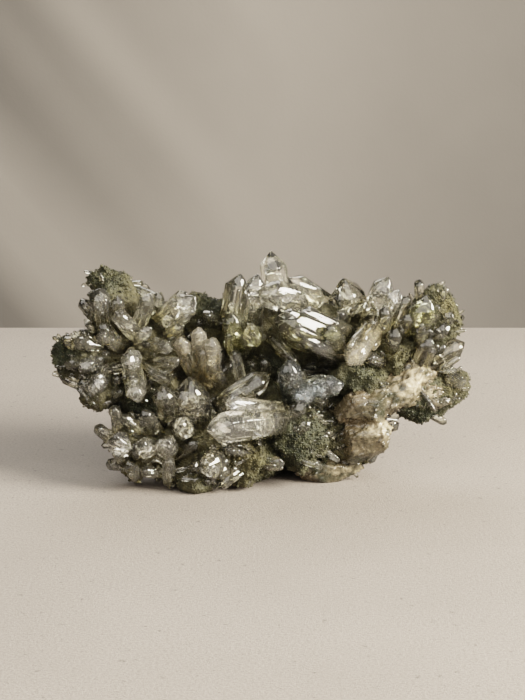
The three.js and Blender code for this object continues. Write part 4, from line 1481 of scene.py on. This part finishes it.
@dataclass
class PointCarpet:
    """Smaller quartz points over the rock, in sprays that lean the same way, and some beside each free point."""

    layers: tuple[Layer, ...] = (
        Layer(5.2, (2.4, 4.8), (2.8, 4.2), 0.25, 0.08, 0.85, 4.4),
        Layer(3.2, (1.2, 2.8), (3.0, 5.0), 0.35, 0.05, 0.8, 3.0),
        Layer(2.2, (0.6, 1.5), (2.6, 4.4), 0.5, 0.0, 0.6, 1.4),
    )
    seed: int = 41
    relief: Relief = field(default_factory=lambda: Relief(11))
    made: list[QuartzPoint] = field(default_factory=list)
    skin: np.ndarray = field(default_factory=lambda: np.empty((0, 3)))
    skin_normals: np.ndarray = field(default_factory=lambda: np.empty((0, 3)))

    def nearest(self, places: np.ndarray) -> tuple[np.ndarray, np.ndarray]:
        """Finds the rock's sampled vertex nearest to each place.

        The squared distance is the vertex's own square, less twice its product with the place, plus the
        place's square. It is taken for 256 places at a time.

        Args:
            places: the places, N by 3, in mm.

        Returns:
            The number of the vertex and its distance, for each place.
        """
        squares = (self.skin**2).sum(1)
        blocks = np.array_split(places, max(1, -(-len(places) // 256)))
        found = np.concatenate([(squares - 2 * block @ self.skin.T).argmin(1) for block in blocks])
        return found, np.linalg.norm(places - self.skin[found], axis=1)

    def sink(self, points: list[QuartzPoint]) -> None:
        """Lets each point's root down into the rock, until it is a third of its width below the nearest surface.

        Args:
            points: the points, whose roots move along the rock's normal where they stood too high.
        """
        roots = np.array([point.root for point in points])
        widths = np.array([point.width for point in points])
        found, _ = self.nearest(roots)
        normals = self.skin_normals[found]
        above = ((roots - self.skin[found]) * normals).sum(1)
        roots = roots - normals * np.maximum(above + 0.34 * widths, 0.0)[:, None]
        for point, root in zip(points, roots):
            point.root = root

    def feet(self, rock: ChloriteRock, layer: Layer, draw: np.random.Generator) -> np.ndarray:
        """Chooses rock vertices, at most one in each cell of a grid, fewer where the crust is bare or behind.

        Args:
            rock: the finished rock.
            layer: the layer that is laid.
            draw: the source of chance.

        Returns:
            Indices of the rock's vertices.
        """
        found = one_a_cell(rock.points, layer.spacing, draw)
        spots = rock.points[found]
        front = np.clip((10 - spots[:, 1]) / 14, 0.16, 1)
        wanted = layer.share * front * (1 - patch_weight(spots, BARE_PATCHES))
        wanted = wanted * np.clip((spots[:, 2] - 2) / 10, 0, 1) * np.clip(1.2 + 1.6 * rock.normals[found][:, 2], 0, 1)
        return found[draw.random(len(found)) < wanted]

    def lay(self, rock: ChloriteRock, layer: Layer, heroes: list[QuartzPoint], box: np.ndarray,
            draw: np.random.Generator) -> list[QuartzPoint]:
        """Lays one layer: each point leans by the rock's normal, outwards, by slow noise and by a little chance.

        The depth is then more than halved, so that most points show their sides to the front and the back. Tips keep
        within the box and close to the rock, and none stands in front of a free point.

        Args:
            rock: the finished rock.
            layer: the layer.
            heroes: the free points, inside which nothing grows.
            box: the lowest and highest corner that tips keep within, in mm.
            draw: the source of chance.

        Returns:
            The points.
        """
        feet = self.feet(rock, layer, draw)
        spots, normals = rock.points[feet], rock.normals[feet]
        inside = np.zeros(len(spots), bool)
        for hero in heroes + self.made[: len(DRUSE)]:
            inside |= hero.holds(spots, 0.4)
        spots, normals = spots[~inside], normals[~inside]
        count = len(spots)
        across, seen = seen_in_front(spots)
        outward = unit(np.stack((across, np.zeros(count), seen + 38), 1))
        slow = np.stack([self.relief.smooth(spots + 500 * k, 15.0) for k in (1, 2, 3)], 1)
        towards = unit(0.75 * normals + 0.5 * outward + 0.9 * slow + layer.lean * draw.normal(size=(count, 3)))
        towards = unit(towards * np.array([1, 0.45, 1]))
        spots = spots + normals * (0.08 * np.asarray(layer.widths).sum())
        width = layer.widths[0] + (layer.widths[1] - layer.widths[0]) * draw.random(count) ** 1.6
        length = width * draw.uniform(*layer.slimness, count)
        roots = spots - towards * (0.5 * length)[:, None]
        tips = spots + towards * (0.5 * length)[:, None]
        safe = within(tips, box)
        safe &= self.nearest(tips)[1] < layer.reach
        margin = 0.2 * sum(layer.widths) / 2
        for hero in heroes + self.made[: len(DRUSE)]:
            for place in (tips, spots, 0.5 * (tips + spots)):
                safe &= ~hero.hidden_by(place, margin)
        flat = draw.uniform(0.7, 1.0, count)
        turn = draw.uniform(0, 60, count)
        return [
            QuartzPoint(roots[k], tips[k], float(width[k]), float(flat[k]), float(turn[k]), layer.chamfer)
            for k in np.flatnonzero(safe)
        ]

    def companions(self, heroes: list[QuartzPoint], box: np.ndarray, draw: np.random.Generator) -> list[QuartzPoint]:
        """Grows slimmer points out of each free one's side: most of them parallel to it, some at a slant.

        Args:
            heroes: the free points.
            box: the lowest and highest corner that tips keep within, in mm.
            draw: the source of chance.

        Returns:
            The points, with their tips at different heights, so that the free point has steps and ridges.
        """
        made = []
        for hero in heroes:
            axes = hero.axes()
            axis = axes[:, 2]
            for number in range(3 if hero.smooth else int(3 + hero.width * 0.45)):
                angle = draw.uniform(0, 2 * math.pi)
                aside = axes[:, 0] * math.cos(angle) + axes[:, 1] * math.sin(angle)
                slanted = hero.smooth or number % 3 == 2
                width = hero.width * draw.uniform(0.2, 0.46)
                start = hero.root + aside * (0.5 * hero.width - 0.22 * width) + axis * hero.length * 0.12
                lean = aside * draw.uniform(0.25, 0.7) if slanted else aside * 0.0
                reach = hero.length * (draw.uniform(0.3, 0.5) if slanted else draw.uniform(0.35, 0.74))
                tip = start + unit(axis + lean) * reach
                near = not slanted or self.nearest(tip[None])[1][0] < SLANT_REACH
                if near and within(tip, box):
                    turn = hero.turn if not slanted else draw.uniform(0, 60)
                    made.append(QuartzPoint(start, tip, float(width), float(draw.uniform(0.7, 1)), float(turn), 0.06))
        return made

    def build(self, rock: ChloriteRock, heroes: list[QuartzPoint], box: np.ndarray,
              finish: bpy.types.Material) -> None:
        """Makes the carpet, the companions and the named smaller points as one piece.

        Args:
            rock: the finished rock.
            heroes: the free points.
            box: the lowest and highest corner of the CAD box, in mm.
            finish: the quartz they are made of.
        """
        draw = np.random.default_rng(self.seed)
        self.skin, self.skin_normals = rock.points[::3], rock.normals[::3]
        self.made = [QuartzPoint.from_row(row, 0.1) for row in DRUSE]
        for layer in self.layers:
            self.made += self.lay(rock, layer, heroes, box, draw)
        self.sink(self.made)
        self.made += self.companions(heroes + self.made[: len(DRUSE)], box, draw)
        parts = Gathered()
        middles = np.array([0.5 * (point.root + point.tip) for point in self.made])
        shaded = patch_weight(middles, DARK_PATCHES)
        for point, shade in zip(self.made, shaded):
            tint = float(np.clip(0.5 * draw.random() + 0.8 * shade, 0, 1))
            point.add_to(parts, tint)
            for _ in range(2 if point.width > CRACKED_WIDTH else 0):
                point.crack_into(parts, tint, draw)
        show(parts.mesh("small_quartz_points"), finish)
        LOG.info("small points: %d", len(self.made))


FLAKE_CORNERS = np.array([(1, 0, 0), (-1, 0, 0), (0, 1, 0), (0, -1, 0), (0, 0, 1), (0, 0, -1)], float)
FLAKE_FACES = np.array([
    (0, 2, 4), (2, 1, 4), (1, 3, 4), (3, 0, 4), (2, 0, 5), (1, 2, 5), (3, 1, 5), (0, 3, 5)])


def chance_turns(count: int, draw: np.random.Generator) -> np.ndarray:
    """Gives random turns as 3 by 3 matrices, from random quaternions of length one."""
    w, x, y, z = unit(draw.normal(size=(count, 4))).T
    return np.stack((
        1 - 2 * (y * y + z * z), 2 * (x * y - z * w), 2 * (x * z + y * w),
        2 * (x * y + z * w), 1 - 2 * (x * x + z * z), 2 * (y * z - x * w),
        2 * (x * z - y * w), 2 * (y * z + x * w), 1 - 2 * (x * x + y * y)), 1).reshape(-1, 3, 3)


def scattered(corners: np.ndarray, faces: np.ndarray, spots: np.ndarray, sizes: np.ndarray,
              turns: np.ndarray, **data: np.ndarray) -> Gathered:
    """Repeats one small shape at many spots, each with its own size and turn.

    Args:
        corners: the shape's corners round the origin.
        faces: its faces of three.
        spots: where the shapes go, in mm.
        sizes: their half sizes along three axes, or one row of jittered sizes a corner.
        turns: their turns.
        data: one value a shape, by attribute name.

    Returns:
        The gathered mesh.
    """
    shaped = corners[None] * sizes
    placed = np.einsum("nij,nkj->nki", turns, shaped) + spots[:, None]
    loops = faces[None] + (np.arange(len(spots)) * len(corners))[:, None, None]
    parts = Gathered()
    spread = {name: np.repeat(values, len(corners)) for name, values in data.items()}
    parts.add(placed.reshape(-1, 3), loops.ravel(), np.full(len(spots) * len(faces), 3), **spread)
    return parts


@dataclass
class GrainCrust:
    """Chlorite grains on the rock: dense on the bare patches, thin elsewhere."""

    spacing: float = 0.72
    seed: int = 5

    def build(self, rock: ChloriteRock) -> None:
        """Scatters grains over the rock's vertices and draws each to an uneven ball.

        Args:
            rock: the finished rock.
        """
        draw = np.random.default_rng(self.seed)
        found = one_a_cell(rock.points, self.spacing, draw)
        spots = rock.points[found]
        bare = np.maximum(patch_weight(spots, BARE_PATCHES), 0.12)
        bare = np.where(spots[:, 1] > 6, np.maximum(bare, 0.2), bare)
        bare = np.maximum(bare, 0.8 * rock.golden[found]) * (spots[:, 2] > 1.2)
        found = found[draw.random(len(found)) < bare * 0.9]
        spots = rock.points[found] + rock.normals[found] * draw.uniform(-0.1, 0.35, (len(found), 1))
        count = len(found)
        size = 0.26 + 0.5 * draw.random((count, 1, 1)) ** 2.4
        jitter = draw.uniform(0.6, 1.3, (count, len(FLAKE_CORNERS), 3))
        stretch = draw.uniform(0.6, 1.25, (count, 1, 3))
        parts = scattered(FLAKE_CORNERS, FLAKE_FACES, spots, size * jitter * stretch, chance_turns(count, draw),
                          tint=draw.random(count), golden=rock.golden[found] * draw.uniform(0.3, 1, count))
        points = parts.vertices[0]
        points[:, 2] = np.maximum(points[:, 2], GROUND_GAP)
        finish = GrainFinish("chlorite_grains", (0.009, 0.01, 0.006), (0.045, 0.044, 0.021), (0.12, 0.097, 0.037))
        show(parts.mesh("chlorite_grains"), finish.material())


@dataclass
class Inclusions:
    """Veils of bright flakes and dark chlorite inside the free points."""

    seed: int = 9

    def veils(self, heroes: list[QuartzPoint]) -> None:
        """Lays sheets of tiny flakes through each crystal: a slanted plane, bent as a saddle, kept inside.

        Args:
            heroes: the free points.
        """
        draw = np.random.default_rng(self.seed)
        spots, normals = [], []
        for hero in heroes:
            for _ in range(int(2 + hero.width / 3)):
                middle = hero.root + (hero.tip - hero.root) * draw.uniform(0.3, 0.85)
                face = unit(draw.normal(size=3) + 0.8 * unit(hero.tip - hero.root))
                side = unit(np.cross(face, draw.normal(size=3)))
                other = np.cross(face, side)
                reach = hero.width * draw.uniform(0.3, 0.7)
                u, v = draw.uniform(-reach, reach, (2, int(5 * hero.width)))
                bend = 0.06 * (u * u - v * v) / hero.width + draw.normal(scale=0.05, size=len(u))
                sheet = middle + u[:, None] * side + v[:, None] * other + bend[:, None] * face
                kept = sheet[hero.holds(sheet, 0.45)]
                spots.append(kept)
                normals.append(np.repeat(face[None], len(kept), 0))
        places = np.concatenate(spots)
        turns = chance_turns(len(places), draw)
        size = draw.uniform(0.04, 0.2, (len(places), 1, 1)) * np.array([1.0, 0.7, 0.12])
        parts = scattered(FLAKE_CORNERS, FLAKE_FACES, places, size, turns)
        finish = SpeckFinish("healed_cracks", (0.95, 0.93, 0.88), (0.75, 0.72, 0.62), 0.15)
        show(parts.mesh("healed_veils"), finish.material())

    def chlorite(self, heroes: list[QuartzPoint]) -> None:
        """Puts dark grains near the crystals' roots, thinning out towards the tips.

        Args:
            heroes: the free points.
        """
        draw = np.random.default_rng(self.seed + 1)
        spots = []
        for hero in heroes:
            count = int(9 * hero.width)
            share = 0.15 + 0.6 * draw.random(count) ** 1.5
            axes = hero.axes()
            local = np.stack((*(draw.uniform(-0.5, 0.5, (2, count)) * hero.width), share * hero.length), 1)
            placed = local @ axes.T + hero.root
            spots.append(placed[hero.holds(placed, 0.3)])
        places = np.concatenate(spots)
        size = draw.uniform(0.08, 0.34, (len(places), 1, 1)) * np.ones(3)
        parts = scattered(FLAKE_CORNERS, FLAKE_FACES, places, size, chance_turns(len(places), draw))
        finish = SpeckFinish("green_inclusions", (0.03, 0.04, 0.02), (0.11, 0.12, 0.05), 0.6)
        show(parts.mesh("chlorite_inclusions"), finish.material())


@dataclass
class Studio:
    """The pale table, the wall behind it, soft lights and the camera."""

    aim: Place = (0.0005, -0.004, 0.047)
    distance: float = 0.686
    table_edge: float = 0.27
    wall_depth: float = 0.8
    glow: float = 0.32
    glow_from: Place = (0.55, -0.5, 0.6)

    def sheet(self, name: str, corners: list[Place], finish: "PlasterFinish | WallFinish") -> None:
        """Adds one flat sheet of the setting.

        Args:
            name: the sheet's name.
            corners: its four corners, in metres.
            finish: its plaster.
        """
        mesh = bpy.data.meshes.new(name)
        mesh.from_pydata(corners, [], [(0, 1, 2, 3)])
        mesh.materials.append(finish.material())
        piece = bpy.data.objects.new(name, mesh)
        bpy.context.scene.collection.objects.link(piece)
        piece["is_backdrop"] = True

    def light(self, name: str, place: Place, size: float, power: float, colour: Colour) -> None:
        """Adds one square soft light, turned to the cluster.

        Args:
            name: the light's name.
            place: where it stands, in metres.
            size: its side in metres.
            power: its power in watts.
            colour: its colour.
        """
        lamp = bpy.data.lights.new(name, "AREA")
        lamp.size = size
        lamp.energy = power
        lamp.color = colour
        stand = bpy.data.objects.new(name, lamp)
        stand.location = place
        stand.rotation_euler = (Vector(self.aim) - Vector(place)).to_track_quat("-Z", "Y").to_euler()
        bpy.context.scene.collection.objects.link(stand)

    def camera(self) -> None:
        """Places the camera at the photograph's viewing angle."""
        lens = bpy.data.cameras.new("view")
        lens.lens = 100
        lens.sensor_width = 36
        lens.clip_start = 0.01
        stand = bpy.data.objects.new("view", lens)
        away = Vector((0, -math.cos(VIEW_TILT), math.sin(VIEW_TILT))) * self.distance
        stand.location = Vector(self.aim) + away
        stand.rotation_euler = (-away).to_track_quat("-Z", "Y").to_euler()
        bpy.context.scene.collection.objects.link(stand)
        bpy.context.scene.camera = stand

    def room(self) -> None:
        """Lights the room: bright on the side of the glow, easing to dim on the other."""
        world = bpy.data.worlds.new("room")
        world.use_nodes = True
        tree = world.node_tree
        back_light = tree.nodes["Background"]
        back_light.inputs["Color"].default_value = (1.0, 0.975, 0.94, 1)
        towards = tree.nodes.new("ShaderNodeVectorMath")
        towards.operation = "DOT_PRODUCT"
        towards.inputs[1].default_value = unit(np.array(self.glow_from))
        tree.links.new(tree.nodes.new("ShaderNodeTexCoord").outputs["Generated"], towards.inputs[0])
        glow = tree.nodes.new("ShaderNodeMapRange")
        glow.interpolation_type = "SMOOTHSTEP"
        for key, value in (("From Min", 0.1), ("From Max", 0.95), ("To Min", 0.035), ("To Max", self.glow)):
            glow.inputs[key].default_value = value
        tree.links.new(towards.outputs["Value"], glow.inputs["Value"])
        tree.links.new(glow.outputs["Result"], back_light.inputs["Strength"])
        bpy.context.scene.world = world

    def build(self) -> None:
        """Sets the table, wall, lights, world and camera."""
        edge, wide = self.table_edge, 2.5
        self.sheet("table", [(-wide, -wide, 0), (wide, -wide, 0), (wide, edge, 0), (-wide, edge, 0)],
                   PlasterFinish("table_plaster", (0.25, 0.219, 0.188), (0.15, 0.13, 0.109), 1.8))
        back = self.wall_depth
        self.sheet("wall", [(-wide, back, -1), (wide, back, -1), (wide, back, 2.5), (-wide, back, 2.5)],
                   WallFinish("wall_plaster", (0.172, 0.155, 0.134), (0.07, 0.063, 0.055)))
        self.light("key", (0.79, -0.44, 0.42), 0.5, 60, (1.0, 0.92, 0.81))
        self.light("window", (-0.1, -0.85, 0.7), 1.1, 13, (1.0, 0.95, 0.88))
        self.light("fill", (-0.7, -0.6, 0.35), 0.4, 1.4, (1.0, 0.98, 0.94))
        self.light("rim", (-0.1, 0.5, 0.6), 0.5, 4, (1.0, 0.98, 0.95))
        self.room()
        self.camera()
        scene = bpy.context.scene
        scene.cycles.max_bounces = 20
        scene.cycles.transmission_bounces = 18
        scene.cycles.glossy_bounces = 8
        scene.cycles.diffuse_bounces = 4
        scene.cycles.transparent_max_bounces = 8
        scene.cycles.sample_clamp_indirect = 6
        scene.view_settings.view_transform = "Filmic"
        scene.view_settings.look = "Medium High Contrast"


def main() -> None:
    """Builds the cluster piece by piece and sets the scene."""
    logging.basicConfig(level=logging.INFO, format="%(name)s %(message)s")
    cad_box = [list(corner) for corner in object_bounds()]
    relief = Relief(7)
    rock = ChloriteRock()
    rock.build(relief)
    VeinQuartz().build(relief)
    heroes = FreeCrystals()
    heroes.build()
    carpet = PointCarpet()
    carpet_finish = QuartzFinish(
        "small_point_quartz", (0.98, 0.97, 0.91), (0.66, 0.62, 0.44), (1.0, 1.0, 0.96), (0.56, 0.52, 0.35),
        (0.75, 0.72, 0.58), 9, 0.985, 0.5, 0.5)
    carpet.build(rock, heroes.made, np.array(cad_box) / MM, carpet_finish.material())
    GrainCrust().build(rock)
    inclusions = Inclusions()
    inclusions.veils(heroes.made)
    inclusions.chlorite(heroes.made)
    Studio().build()


if __name__ == "__main__":
    main()
